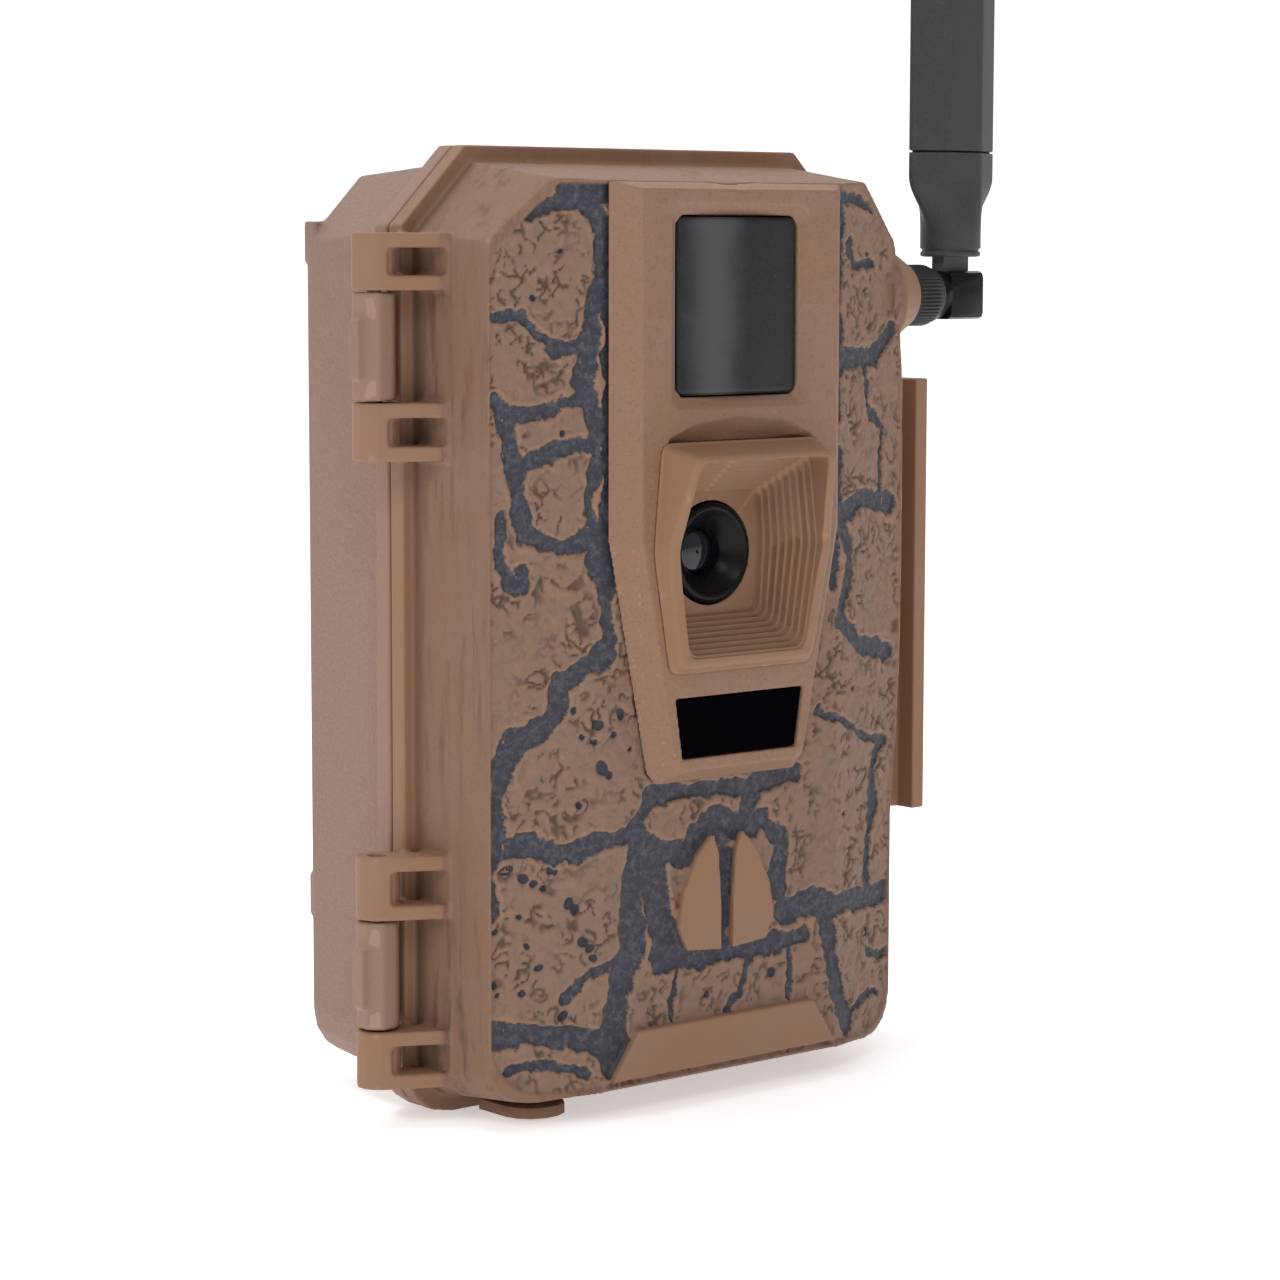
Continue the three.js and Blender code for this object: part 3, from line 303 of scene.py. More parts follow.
class Paint:
    """One procedural material, built up node by node. Coordinates are the object's own, in millimetres."""

    def __init__(self, name, roughness=0.6, specular=0.4, metallic=0.0):
        self.material = bpy.data.materials.new(name)
        self.material.use_nodes = True
        self.tree = self.material.node_tree
        self.shader = self.tree.nodes["Principled BSDF"]
        self.shader.inputs["Roughness"].default_value = roughness
        self.shader.inputs["Specular IOR Level"].default_value = specular
        self.shader.inputs["Metallic"].default_value = metallic
        self.place = self.node("ShaderNodeTexCoord").outputs["Object"]
        self.height = None

    def node(self, kind, **settings):
        made = self.tree.nodes.new(kind)
        for key, value in settings.items():
            setattr(made, key, value)
        return made

    def feed(self, socket, value):
        if isinstance(value, bpy.types.NodeSocket):
            self.tree.links.new(value, socket)
        elif isinstance(value, (tuple, list)) and len(value) == 3 and socket.type == "RGBA":
            socket.default_value = (*value, 1)
        else:
            socket.default_value = value

    def math(self, operation, a, b=0.0, c=0.0):
        made = self.node("ShaderNodeMath", operation=operation)
        for socket, value in zip(made.inputs, (a, b, c)):
            self.feed(socket, value)
        return made.outputs[0]

    def scaled(self, stretch):
        """Coordinates times 1000 and a stretch on each axis, so that scale 1 is one millimetre."""
        made = self.node("ShaderNodeVectorMath", operation="MULTIPLY")
        self.feed(made.inputs[0], self.place)
        made.inputs[1].default_value = tuple(s / MM for s in stretch)
        return made.outputs[0]

    def noise(self, scale, detail=3.0, rough=0.55, stretch=(1, 1, 1), distortion=0.0):
        made = self.node("ShaderNodeTexNoise")
        self.feed(made.inputs["Vector"], self.scaled(stretch))
        made.inputs["Scale"].default_value = scale
        made.inputs["Detail"].default_value = detail
        made.inputs["Roughness"].default_value = rough
        made.inputs["Distortion"].default_value = distortion
        return made.outputs["Fac"]

    def cells(self, scale, feature="DISTANCE_TO_EDGE", stretch=(1, 1, 1), bend=0.0):
        made = self.node("ShaderNodeTexVoronoi", feature=feature)
        vector = self.scaled(stretch)
        if bend:
            wobble = self.node("ShaderNodeTexNoise")
            self.feed(wobble.inputs["Vector"], vector)
            wobble.inputs["Scale"].default_value = scale * 1.3
            shift = self.node("ShaderNodeVectorMath", operation="MULTIPLY_ADD")
            self.feed(shift.inputs[0], wobble.outputs["Color"])
            shift.inputs[1].default_value = (bend / scale,) * 3
            self.feed(shift.inputs[2], vector)
            vector = shift.outputs[0]
        self.feed(made.inputs["Vector"], vector)
        made.inputs["Scale"].default_value = scale
        return made.outputs["Distance"]

    def range(self, value, low, high, to_low=0.0, to_high=1.0, smooth=True):
        kind = "SMOOTHSTEP" if smooth else "LINEAR"
        made = self.node("ShaderNodeMapRange", interpolation_type=kind, clamp=True)
        for name, item in (("Value", value), ("From Min", low), ("From Max", high),
                           ("To Min", to_low), ("To Max", to_high)):
            self.feed(made.inputs[name], item)
        return made.outputs["Result"]

    def mix(self, share, a, b):
        made = self.node("ShaderNodeMix", data_type="RGBA", clamp_factor=True)
        sockets = [s for s in made.inputs if s.enabled]
        for socket, value in zip(sockets, (share, a, b)):
            self.feed(socket, value)
        return [s for s in made.outputs if s.enabled][0]

    def attribute(self, name):
        return self.node("ShaderNodeAttribute", attribute_name=name).outputs["Fac"]

    def edges(self):
        return self.node("ShaderNodeNewGeometry").outputs["Pointiness"]

    def colour(self, value):
        self.feed(self.shader.inputs["Base Color"], value)

    def rough(self, value):
        self.feed(self.shader.inputs["Roughness"], value)

    def bump(self, height, depth, strength=1.0):
        """Adds relief of a height from 0 to 1, depth millimetres tall, to what is there."""
        made = self.node("ShaderNodeBump")
        made.inputs["Strength"].default_value = strength
        made.inputs["Distance"].default_value = depth * MM
        self.feed(made.inputs["Height"], height)
        if self.height is not None:
            self.feed(made.inputs["Normal"], self.height)
        self.height = made.outputs["Normal"]
        self.feed(self.shader.inputs["Normal"], self.height)


def shade(colour, factor):
    return tuple(min(1.0, c * factor) for c in colour)


TAN = (0.262, 0.144, 0.088)
TAN_GREY = (0.258, 0.160, 0.124)
TAN_WARM = (0.272, 0.143, 0.078)
TAN_RIM = (0.264, 0.158, 0.114)
TAN_DARK = (0.112, 0.064, 0.044)
SLATE = (0.036, 0.037, 0.050)
SLATE_PALE = (0.085, 0.084, 0.098)
MUD_GREY = (0.202, 0.131, 0.098)
# How much darker or paler than their ground the specks are
DARK_SPECK, PALE_SPECK = 0.62, 1.35


def moulded(name, base, grain=0.05, streak=None, specks=0.12, edge=0.18, grey=0.25):
    """Tan moulded plastic: drifting tone, fine specks, a grained skin and lighter edges, partly wear and
    partly painted highlight.
    """
    paint = Paint(name, roughness=0.58, specular=0.38)
    drift = paint.noise(0.045, detail=2)
    tone = paint.mix(paint.range(drift, 0.35, 0.65, 0, grey + 0.35), base, TAN_GREY)
    fine = paint.noise(1.6, detail=4, rough=0.7)
    tone = paint.mix(paint.range(fine, 0.52, 0.72, 0, specks * 2), tone, shade(base, DARK_SPECK))
    pale = paint.noise(2.3, detail=3, rough=0.6)
    tone = paint.mix(paint.range(pale, 0.58, 0.75, 0, specks * 2.2), tone, shade(base, PALE_SPECK))
    if streak:
        lines = paint.noise(0.55, detail=4, rough=0.65, stretch=streak)
        tone = paint.mix(paint.range(lines, 0.5, 0.75, 0, 0.55), tone, TAN_DARK)
        paint.bump(lines, 0.10, 0.7)
    # Convex edges, found by pointiness, are painted paler: partly wear, partly painted highlight.
    tone = paint.mix(paint.range(paint.edges(), 0.55, 0.68, 0, edge * 2), tone, shade(base, 1.45))
    paint.colour(tone)
    paint.rough(paint.range(fine, 0.3, 0.7, 0.52, 0.68, smooth=False))
    paint.bump(paint.noise(2.0, detail=4, rough=0.6), grain)
    return paint


def make_smooth_plastic():
    return moulded("plastic_smooth", TAN_WARM, grain=0.05, specks=0.09, edge=0.3, grey=0.0).material


def make_rim_plastic():
    return moulded("plastic_rim", TAN_RIM, grain=0.05, specks=0.09, edge=0.3, grey=0.0).material


def make_panel_plastic():
    paint = moulded("plastic_panel", TAN, grain=0.09, specks=0.26, edge=0.3, grey=0.05)
    paint.bump(paint.cells(1.1, bend=0.5), 0.09, 0.8)
    return paint.material


def make_leather_plastic():
    """The rear case: a fine creased grain, like leather."""
    paint = moulded("plastic_leather", TAN_GREY, grain=0.04, specks=0.1, edge=0.2, grey=0.3)
    creases = paint.cells(1.5, stretch=(1, 1, 0.5), bend=0.6)
    paint.bump(paint.range(creases, 0.0, 0.2), 0.07, 0.9)
    wrinkles = paint.noise(1.2, detail=4, rough=0.65, stretch=(1, 1, 0.45), distortion=0.4)
    paint.bump(wrinkles, 0.22, 0.9)
    return paint.material


def make_camo_plastic():
    """The front housing: smooth skin, streaked side walls, and cracked mud on the face."""
    paint = Paint("plastic_camo", roughness=0.62, specular=0.34)
    camo, crack = paint.attribute("camo"), paint.attribute("crack")
    crease, pit = paint.attribute("crease"), paint.attribute("pit")
    plain = paint.attribute("plain")
    fine = paint.noise(1.6, detail=4, rough=0.7)
    drift = paint.noise(0.06, detail=2)
    base = paint.mix(paint.range(drift, 0.35, 0.65, 0, 0.5), TAN, TAN_GREY)
    base = paint.mix(paint.range(fine, 0.52, 0.72, 0, 0.26), base, shade(TAN, DARK_SPECK))
    pale = paint.noise(2.3, detail=3, rough=0.6)
    base = paint.mix(paint.range(pale, 0.58, 0.75, 0, 0.3), base, shade(TAN, PALE_SPECK))

    streaks = paint.noise(0.5, detail=5, rough=0.65, stretch=(1, 1, 0.12), distortion=0.3)
    smudge = paint.noise(0.09, detail=3, stretch=(1, 1, 0.35))
    smudge = paint.range(smudge, 0.38, 0.62, 0.25, 0.95)
    dirty = paint.math("MULTIPLY", paint.range(streaks, 0.45, 0.72), smudge)
    side = paint.mix(0.28, paint.mix(dirty, base, TAN_DARK), TAN_DARK)
    smooth = paint.mix(plain, side, paint.mix(paint.range(drift, 0.3, 0.7, 0, 0.6), TAN_WARM, TAN_RIM))

    mud = paint.mix(paint.range(paint.noise(0.35, detail=3), 0.3, 0.7, 0.3, 0.9), base, MUD_GREY)
    mud = paint.mix(paint.range(paint.noise(0.8, detail=4, rough=0.65), 0.5, 0.75, 0, 0.2), mud, TAN_DARK)
    mud = paint.mix(paint.math("MULTIPLY", crease, 0.85), mud, shade(TAN_DARK, 0.7))
    mud = paint.mix(paint.range(crack, 0.9, 0.25, 0, 0.35), mud, shade(TAN, 1.3))
    mud = paint.mix(paint.range(pit, 0.35, 0.6), mud, SLATE)
    ragged = paint.math("MULTIPLY_ADD", paint.noise(1.5, detail=3, rough=0.6), 0.9, -0.45)
    edge = paint.math("ADD", crack, ragged)
    paint_tone = paint.mix(paint.range(paint.noise(0.9, detail=4, rough=0.7), 0.42, 0.7), SLATE, SLATE_PALE)
    rubbed = paint.range(paint.noise(0.5, detail=4, rough=0.7), 0.60, 0.74, 0, 0.55)
    paint_tone = paint.mix(rubbed, paint_tone, TAN_DARK)
    mud = paint.mix(paint.range(edge, 0.16, -0.16), mud, paint_tone)

    tone = paint.mix(camo, smooth, mud)
    # Painted shade: the side walls beside the rim darken where the groove lies in shadow.
    tone = paint.mix(paint.math("MULTIPLY", paint.attribute("rim_groove_shade"), 0.7), tone, TAN_DARK)
    # Convex edges outside the cracks are painted paler: partly wear, partly painted highlight.
    worn = paint.math("MULTIPLY", paint.range(paint.edges(), 0.53, 0.62, 0, 0.4),
                      paint.range(crack, -0.3, 0.3))
    tone = paint.mix(worn, tone, shade(TAN, 1.5))
    paint.colour(tone)
    paint.rough(paint.range(fine, 0.3, 0.7, 0.55, 0.72, smooth=False))
    grooves = paint.math("MULTIPLY", streaks, paint.math("SUBTRACT", 1.0, plain))
    paint.bump(grooves, 0.10, 0.6)
    paint.bump(paint.noise(2.2, detail=4, rough=0.65), 0.06, 0.8)
    return paint.material


def make_black_plastic(name, base=(0.018, 0.018, 0.020), roughness=0.42, grain=0.03, specular=0.35):
    paint = Paint(name, roughness=roughness, specular=specular)
    fine = paint.noise(2.6, detail=4, rough=0.7)
    tone = paint.mix(paint.range(fine, 0.4, 0.7, 0, 0.5), base, shade(base, 1.6))
    # Convex edges, found by pointiness, are painted paler: partly wear, partly painted highlight.
    tone = paint.mix(paint.range(paint.edges(), 0.53, 0.66, 0, 0.5), tone, shade(base, 3.0))
    paint.colour(tone)
    paint.rough(paint.range(fine, 0.3, 0.7, roughness - 0.06, roughness + 0.08, smooth=False))
    paint.bump(paint.noise(3.0, detail=4, rough=0.6), grain)
    return paint.material


def make_gloss(name, base, roughness, specular, coat=0.0):
    paint = Paint(name, roughness=roughness, specular=specular)
    haze = paint.noise(0.12, detail=3)
    paint.colour(paint.mix(paint.range(haze, 0.3, 0.7), base, shade(base, 1.35)))
    dust = paint.noise(4.0, detail=2, rough=0.6)
    paint.rough(paint.range(dust, 0.4, 0.75, roughness, roughness + 0.08, smooth=False))
    paint.shader.inputs["Coat Weight"].default_value = coat
    paint.shader.inputs["Coat Roughness"].default_value = 0.06
    return paint.material


def make_satin_window():
    """The lamp filter: dark, finely speckled, with a painted sheen: a paler upright band left of its middle.
    """
    paint = Paint("window_satin", roughness=0.4, specular=0.3)
    across = paint.node("ShaderNodeSeparateXYZ")
    paint.feed(across.inputs[0], paint.scaled((1, 1, 1)))
    drift = paint.math("MULTIPLY_ADD", paint.noise(0.12, detail=2), 5.0, -2.5)
    # Painted sheen: the colour turns paler towards an upright band left of the middle.
    sheen_band_distance = paint.math("ABSOLUTE", paint.math("ADD", across.outputs["X"], paint.math("ADD", drift, 5.5)))
    tone = paint.mix(paint.range(sheen_band_distance, 7.5, 0.5), (0.012, 0.012, 0.014), (0.066, 0.064, 0.070))
    speck = paint.noise(2.2, detail=3, rough=0.7)
    tone = paint.mix(paint.range(speck, 0.55, 0.75, 0, 0.3), tone, (0.09, 0.09, 0.095))
    paint.colour(tone)
    paint.bump(speck, 0.02)
    return paint.material


def make_metal(name, base, roughness, stretch=(1, 1, 1)):
    paint = Paint(name, roughness=roughness, specular=0.5, metallic=1.0)
    lines = paint.noise(1.8, detail=4, rough=0.65, stretch=stretch)
    paint.colour(paint.mix(paint.range(lines, 0.35, 0.7), base, shade(base, 0.72)))
    paint.rough(paint.range(lines, 0.3, 0.7, roughness - 0.07, roughness + 0.12, smooth=False))
    paint.bump(lines, 0.015)
    return paint.material


def make_board():
    paint = Paint("circuit_board", roughness=0.42, specular=0.45)
    tracks = paint.cells(0.35, feature="F1")
    tone = paint.mix(paint.range(tracks, 0.45, 0.5), (0.012, 0.085, 0.035), (0.018, 0.13, 0.052))
    paint.colour(tone)
    paint.bump(tracks, 0.03)
    return paint.material


def make_jacket():
    """A cell's plain jacket, with a paler band towards its end."""
    paint = Paint("cell_jacket", roughness=0.32, specular=0.5)
    up = paint.node("ShaderNodeSeparateXYZ")
    paint.feed(up.inputs[0], paint.scaled((1, 1, 1)))
    lowest_cell, cell_pitch, band_start = 18.2, 50.5, 35.8
    height = paint.math("MODULO", paint.math("SUBTRACT", up.outputs["Z"], lowest_cell), cell_pitch)
    band = paint.range(height, band_start, band_start + 0.2)
    tone = paint.mix(band, (0.035, 0.09, 0.20), (0.35, 0.30, 0.16))
    scuff = paint.noise(0.5, detail=4)
    tone = paint.mix(paint.range(scuff, 0.5, 0.8, 0, 0.3), tone, (0.30, 0.32, 0.34))
    paint.colour(tone)
    paint.bump(scuff, 0.03)
    return paint.material


def make_rubber(name, base):
    paint = Paint(name, roughness=0.82, specular=0.25)
    fine = paint.noise(1.8, detail=4, rough=0.7)
    paint.colour(paint.mix(paint.range(fine, 0.4, 0.7, 0, 0.6), base, shade(base, 0.7)))
    paint.bump(fine, 0.05)
    return paint.material


def make_floor_paper():
    """White paper that glows faintly, as an evenly lit backdrop does."""
    paint = Paint("floor_paper", roughness=0.9, specular=0.1)
    cloud = paint.range(paint.noise(0.02, detail=2), 0.3, 0.7)
    paint.colour(paint.mix(cloud, (0.90, 0.90, 0.90), (0.93, 0.93, 0.93)))
    paint.shader.inputs["Emission Color"].default_value = (1, 1, 1, 1)
    paint.shader.inputs["Emission Strength"].default_value = FLOOR_GLOW
    return paint.material


def dress(item, material, body=None):
    item.data.materials.clear()
    item.data.materials.append(material)
    if body:
        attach(item, body)


# ---------------------------------------------------------------------------------------------
# Front housing with its cracked mud

# Cracks as (half width, points), in millimetres across and up the face.
CRACKS = [
    (1.3, [(-42.5, 139), (-38.5, 142), (-32.5, 144), (-29, 144), (-25.5, 141.5), (-25, 139)]),
    (1.1, [(-31.7, 147.5), (-31, 144.5)]),
    (2.6, [(-29.5, 146.3), (-23.5, 146)]),
    (1.7, [(-25, 141), (-25.4, 136), (-25.2, 131), (-26.6, 128), (-27.2, 124), (-27.6, 118), (-27.2, 112),
           (-26.2, 108)]),
    (1.2, [(-24.2, 140), (-24, 132), (-23.8, 124), (-23.8, 117), (-23.8, 110), (-23.9, 104), (-24, 94),
           (-23.5, 80)]),
    (0.9, [(-42.5, 126.8), (-38, 126.6), (-35.5, 124.4), (-32, 122.3), (-28, 121.8)]),
    (1.0, [(-33, 121), (-30, 121.6)]),
    (1.4, [(-42, 114), (-39, 112), (-35, 111.8)]),
    (0.9, [(-35, 111.8), (-31, 112.8), (-27.5, 114.3)]),
    (1.6, [(-40.4, 112.5), (-40.2, 108.5), (-40, 104), (-39, 100), (-38.4, 95.5), (-36.8, 93)]),
    (1.2, [(-38, 103.4), (-33.6, 105.2), (-29.8, 106.6), (-25, 107)]),
    (1.0, [(-26.2, 105), (-27, 100), (-26.4, 94.5)]),
    (1.5, [(-25.5, 94), (-28, 92), (-32.2, 90.8), (-36.8, 93)]),
    (1.5, [(-26, 94), (-25.4, 88), (-24.4, 82), (-23.7, 77), (-24, 74.5)]),
    (1.0, [(-41.2, 96), (-40.8, 90), (-39.8, 85.4), (-37.8, 85.2), (-37.6, 87.6)]),
    (1.9, [(-24, 76.5), (-25.7, 73), (-29.3, 71.5), (-32, 71), (-32.6, 68), (-33.4, 65.5), (-35.9, 63),
           (-39.3, 60.8)]),
    (2.2, [(-37.5, 62), (-39.8, 60.3), (-41, 56.8)]),
    (1.5, [(-41, 57), (-42, 52), (-42.7, 46)]),
    (0.9, [(-42.7, 46), (-42.9, 34.5)]),
    (1.5, [(-42.5, 45.3), (-36, 44.8), (-30.3, 43.4), (-25.7, 44.6), (-19.8, 44.8)]),
    (1.7, [(-19.8, 44.8), (-17.2, 47), (-15.4, 50), (-13.8, 51.4)]),
    (2.7, [(-17.5, 44.3), (-18.4, 40.3), (-18.8, 36), (-19.0, 31), (-19.8, 26), (-21.4, 21), (-22.6, 14),
           (-22.4, 9)]),
    (1.9, [(-43.2, 15.6), (-38.6, 15.2), (-30.8, 14.3), (-23.5, 12.4)]),
    (0.8, [(-40, 9.8), (-35, 10.6), (-31, 9.2), (-27.6, 8.2)]),
    (1.5, [(-15.5, 51.2), (-5.6, 51.1), (4.2, 50.6), (16, 51.4)]),
    (1.8, [(6.6, 50.6), (5.0, 46.8), (6.6, 43)]),
    (1.3, [(-17.2, 45.6), (-12.4, 42.7), (-8, 42.3)]),
    (2.9, [(-14, 40), (-13.5, 30), (-12, 25)]),
    (2.2, [(-9, 41), (0, 46.5), (4, 44)]),
    (1.8, [(0, 42), (0.2, 30), (0.5, 24)]),
    (1.6, [(-11, 24), (-4, 23.4), (4, 24), (11, 23.6), (18, 25)]),
    (2.2, [(14, 29.5), (22.5, 29.6), (33.3, 28.2), (42.5, 28.3)]),
    (1.8, [(12, 33), (12.5, 41), (9, 45)]),
    (1.8, [(22.6, 29), (24.2, 21), (26, 14), (29.5, 8)]),
    (0.7, [(6.5, 23), (4.4, 19), (0.9, 14)]),
    (0.6, [(-10, 21.5), (-11, 17.5), (-10, 14.5)]),
    (0.6, [(14.5, 22.5), (15.5, 18.5), (14, 15)]),
    (0.7, [(-31.5, 20.8), (-28.8, 23.2), (-21.8, 26.6)]),
    (1.3, [(25, 104), (25.2, 96), (24.8, 90), (24, 82)]),
    (1.2, [(25, 146), (25, 132), (25.2, 120), (25, 110)]),
    (1.5, [(25, 119), (31, 118.8), (36.2, 119.5), (42, 123.4)]),
    (0.8, [(33.4, 118), (34.5, 111.4), (39.6, 106.4), (39.5, 100.8), (38.6, 97)]),
    (1.7, [(25, 93.6), (32.8, 95.6), (43, 95)]),
    (1.6, [(27, 92), (29.3, 86), (28.5, 80.5), (26, 76.6), (28.5, 73.6), (33.3, 71.7), (43.2, 69.4)]),
    (0.8, [(21, 62.2), (25, 59.5), (32, 56.8), (41.4, 54.7)]),
    (1.3, [(40.5, 54.8), (37.5, 50.3), (37.7, 42.6), (35.8, 38), (35.9, 29.5)]),
    (0.9, [(26.3, 145.8), (32, 144.9), (36, 144)]),
    (0.8, [(28.3, 137.5), (30.3, 133.8), (36, 134.7)]),
    (0.7, [(36, 20), (39.5, 17.5), (42.5, 18)]),
    (0.7, [(30.5, 10), (35, 12), (40, 11)]),
]

# Pits in the mud as (across, up, radius).
PITS = [
    (-29.8, 65.8, 0.7), (-25.7, 63.3, 0.8), (-21.5, 64.8, 0.9), (-26.2, 60.5, 0.6), (-25.1, 56.4, 1.1),
    (-24.0, 55.4, 0.7), (-29, 50.6, 0.5), (-19.2, 58.7, 0.4), (-40.5, 41.3, 0.9), (-38, 39.8, 0.9),
    (-36.2, 39.0, 0.7), (-34.6, 38.2, 0.6), (-38.5, 33.5, 0.5), (-42.4, 31.5, 0.6), (-30.4, 35.7, 0.9),
    (-29.2, 34.6, 0.9), (-28.2, 29.6, 0.9), (-26.8, 28.4, 0.8), (-26.4, 26.6, 0.6), (-37.2, 29, 0.5),
    (-35.5, 25.3, 0.6), (-37.8, 21.9, 0.7), (-42.2, 23.3, 0.6), (-41.4, 21.6, 0.5), (-31.3, 18, 0.8),
    (-33.6, 41.3, 0.7), (-32.6, 40.9, 0.5), (-28, 61.5, 0.4), (-23, 61.8, 0.5), (-31.5, 108.6, 0.5),
    (-36.3, 129.6, 0.5), (-31.5, 136.8, 0.4), (30.5, 64.5, 0.5), (28, 44, 0.5), (11, 19.5, 0.8),
    (-3, 18, 0.6), (36, 22.5, 0.8), (34, 136, 0.6),
]

FACE_HALF, FACE_BOTTOM, FACE_TOP, FACE_CHAMFER, FACE_CORNER = 43.0, 5.4, 147.2, 11.0, 8.5
CRACK_DEPTH = 0.6
SWELL_HEIGHTS = (42, 50, 57, 66, 76, 95, 114, 123, 131, 136)
SWELL = (0, 0.9, 1.8, 2.5, 2.9, 3.2, 2.8, 1.9, 0.6, 0)

# Where the front housing's skin changes, as the start and end of a soft step in millimetres
RAISED_FROM = (27.25, 27.6)
FACE_FROM = (19.2, 19.8)
HINGE_SIDE_FROM = (45.2, 45.9)
RIM_FROM = (-5.6, -5.1)
BOSS_FROM = (44.2, 45.0)
SCOOP_FROM = (145.2, 145.8)
SCOOP_HALF = 15


def inside_face(x, z):
    """Distance in from the border of the face, in millimetres. The right side swells outwards."""
    half = FACE_HALF + np.where(x > 0, np.interp(z, SWELL_HEIGHTS, SWELL), 0)
    ax = np.abs(x)
    straight = np.minimum.reduce([
        half - ax, z - FACE_BOTTOM, FACE_TOP - z,
        (FACE_HALF + FACE_TOP - FACE_CHAMFER - ax - z) / math.sqrt(2)])
    corner_x, corner_z = FACE_HALF - FACE_CORNER, FACE_BOTTOM + FACE_CORNER
    corner = FACE_CORNER - np.hypot(ax - corner_x, z - corner_z)
    return np.where((ax > corner_x) & (z < corner_z), corner, straight)


def crack_distance(x, z, warp):
    """Distance to the nearest crack's edge: negative inside a crack."""
    best = np.full(len(x), 9.0)
    for half_width, route in CRACKS:
        for (x0, z0), (x1, z1) in zip(route, route[1:]):
            dx, dz = x1 - x0, z1 - z0
            along = np.clip(((x - x0) * dx + (z - z0) * dz) / (dx * dx + dz * dz), 0, 1)
            distance = np.hypot(x - x0 - along * dx, z - z0 - along * dz)
            best = np.minimum(best, distance - half_width * (1 + 0.4 * warp))
    return best


def make_front_shell():
    item = soft_copy("front_housing", "front_shell", 0.33, 2)
    mesh = item.data
    points, faces_out = coordinates(mesh), normals(mesh)
    x, y, z = points.T
    wide, small, line, grain = Noise(3), Noise(11), Noise(23), Noise(31)
    border = inside_face(x, z)
    raised = ramp(-y, *RAISED_FROM) * ramp(-faces_out[:, 1], -0.2, 0.3)
    outside = ramp(-faces_out[:, 1], 0.45, 0.75) * ramp(-y, *FACE_FROM)
    face = outside * ramp(border, 0.0, 0.5)
    camo = face * (1 - raised)

    near = camo > 0.001
    spots = np.column_stack([x[near], np.zeros(near.sum()), z[near]])
    shift_x = 1.3 * wide(spots, 0.16) + 0.65 * small(spots, 0.5) + 0.25 * line(spots, 1.2)
    shift_z = 1.3 * small(spots + 40, 0.16) + 0.65 * wide(spots + 70, 0.5) + 0.25 * line(spots + 90, 1.2)
    warp = np.clip(wide(spots + 17, 0.22), -1, 1)
    crack_near = crack_distance(spots[:, 0] + shift_x, spots[:, 2] + shift_z, warp)
    # Wrinkles follow the lines where noise passes through zero.
    bent = spots + np.column_stack([shift_x, shift_z * 0, shift_z]) * 0.6
    wander = np.minimum(np.abs(line(bent, 0.34)) / 0.34, np.abs(grain(bent + 33, 0.5)) / 0.5)
    patch = ramp(wide(spots + 55, 0.11), -0.35, 0.15)
    broken = ramp(small(spots + 21, 0.45), -0.25, 0.15)
    crease_near = (1 - ramp(wander, 0.05, 0.24)) * broken * (0.25 + 0.75 * patch)
    pit_near = np.zeros(len(spots))
    for px, pz, radius in PITS:
        distance = np.hypot((spots[:, 0] - px) + shift_x * 0.5, (spots[:, 2] - pz) + shift_z * 0.5)
        pit_near = np.maximum(pit_near, 1 - ramp(distance, radius * 0.75, radius * 1.25))
    for_islands = ramp(crack_near, 0.0, 0.5)
    crease_near *= for_islands
    pit_near *= for_islands
    lumps = 0.15 * small(spots, 0.6) + 0.09 * grain(spots, 1.3)
    floor_relief = 0.08 * grain(spots + 5, 0.9)
    sink = ramp(crack_near, 0.35, -0.35)
    height = -sink * (CRACK_DEPTH + floor_relief)
    height += (1 - sink) * (lumps + 0.10 * ramp(crack_near, 1.1, 0.3) * ramp(crack_near, -0.3, 0.3))
    height -= 0.45 * crease_near + 0.5 * pit_near
    height -= 0.12

    lift = np.zeros(len(x))
    lift[near] = height * camo[near]
    # The border of the face stands up as a thin lip.
    lift += 0.22 * outside * ramp(border, -0.9, -0.4) * ramp(border, 0.5, 0.1) * (1 - raised)
    points += faces_out * lift[:, None]
    set_coordinates(mesh, points)

    def spread(values, elsewhere):
        full = np.full(len(x), elsewhere)
        full[near] = values
        return full

    hinge_side = ramp(-x, *HINGE_SIDE_FROM)
    rim = ramp(y, *RIM_FROM)
    boss = ramp(x, *BOSS_FROM)
    inner = ramp(faces_out[:, 1], 0.3, 0.6)
    # The scoop in the top edge is bare. The side walls beside the rim get painted shade, where the groove
    # next to the rim lies in shadow.
    dip = outside * ramp(z, *SCOOP_FROM) * ramp(SCOOP_HALF - np.abs(x), 0, 1)
    rim_groove_shade = ramp(y, -8.2, -5.4) * (1 - ramp(y, -5.1, -4.9)) * (1 - ramp(-x, 46.2, 46.8))
    rim_groove_shade *= ramp(np.abs(faces_out[:, 0]), 0.3, 0.7)
    plain = np.maximum.reduce([hinge_side, rim * 0.75, boss, inner, raised, dip])
    store(mesh, "camo", camo)
    store(mesh, "crack", spread(crack_near, 6.0))
    store(mesh, "crease", spread(crease_near, 0.0))
    store(mesh, "pit", spread(pit_near, 0.0))
    store(mesh, "plain", plain)
    store(mesh, "rim_groove_shade", rim_groove_shade)
    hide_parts("front_housing")
    return item


# ---------------------------------------------------------------------------------------------
# Hood, lens and windows

LENS_Z = 88.6
PANEL_FACE, HOOD_BACK, LENS_FLOOR, FIRST_STEP = -31.0, -22.4, -23.6, -32.4
HOOD_TIP, HOOD_DRAFT = -37.6, 1.6
HOOD_STEPS = 8
LENS_HOLE = 8.4
# How far forward the hood's front edge stands at each height
HOOD_HEIGHTS = (71.0, 84.6, 91.6, 105.6)
HOOD_FRONT = (-32.7, -33.3, -33.9, -37.3)


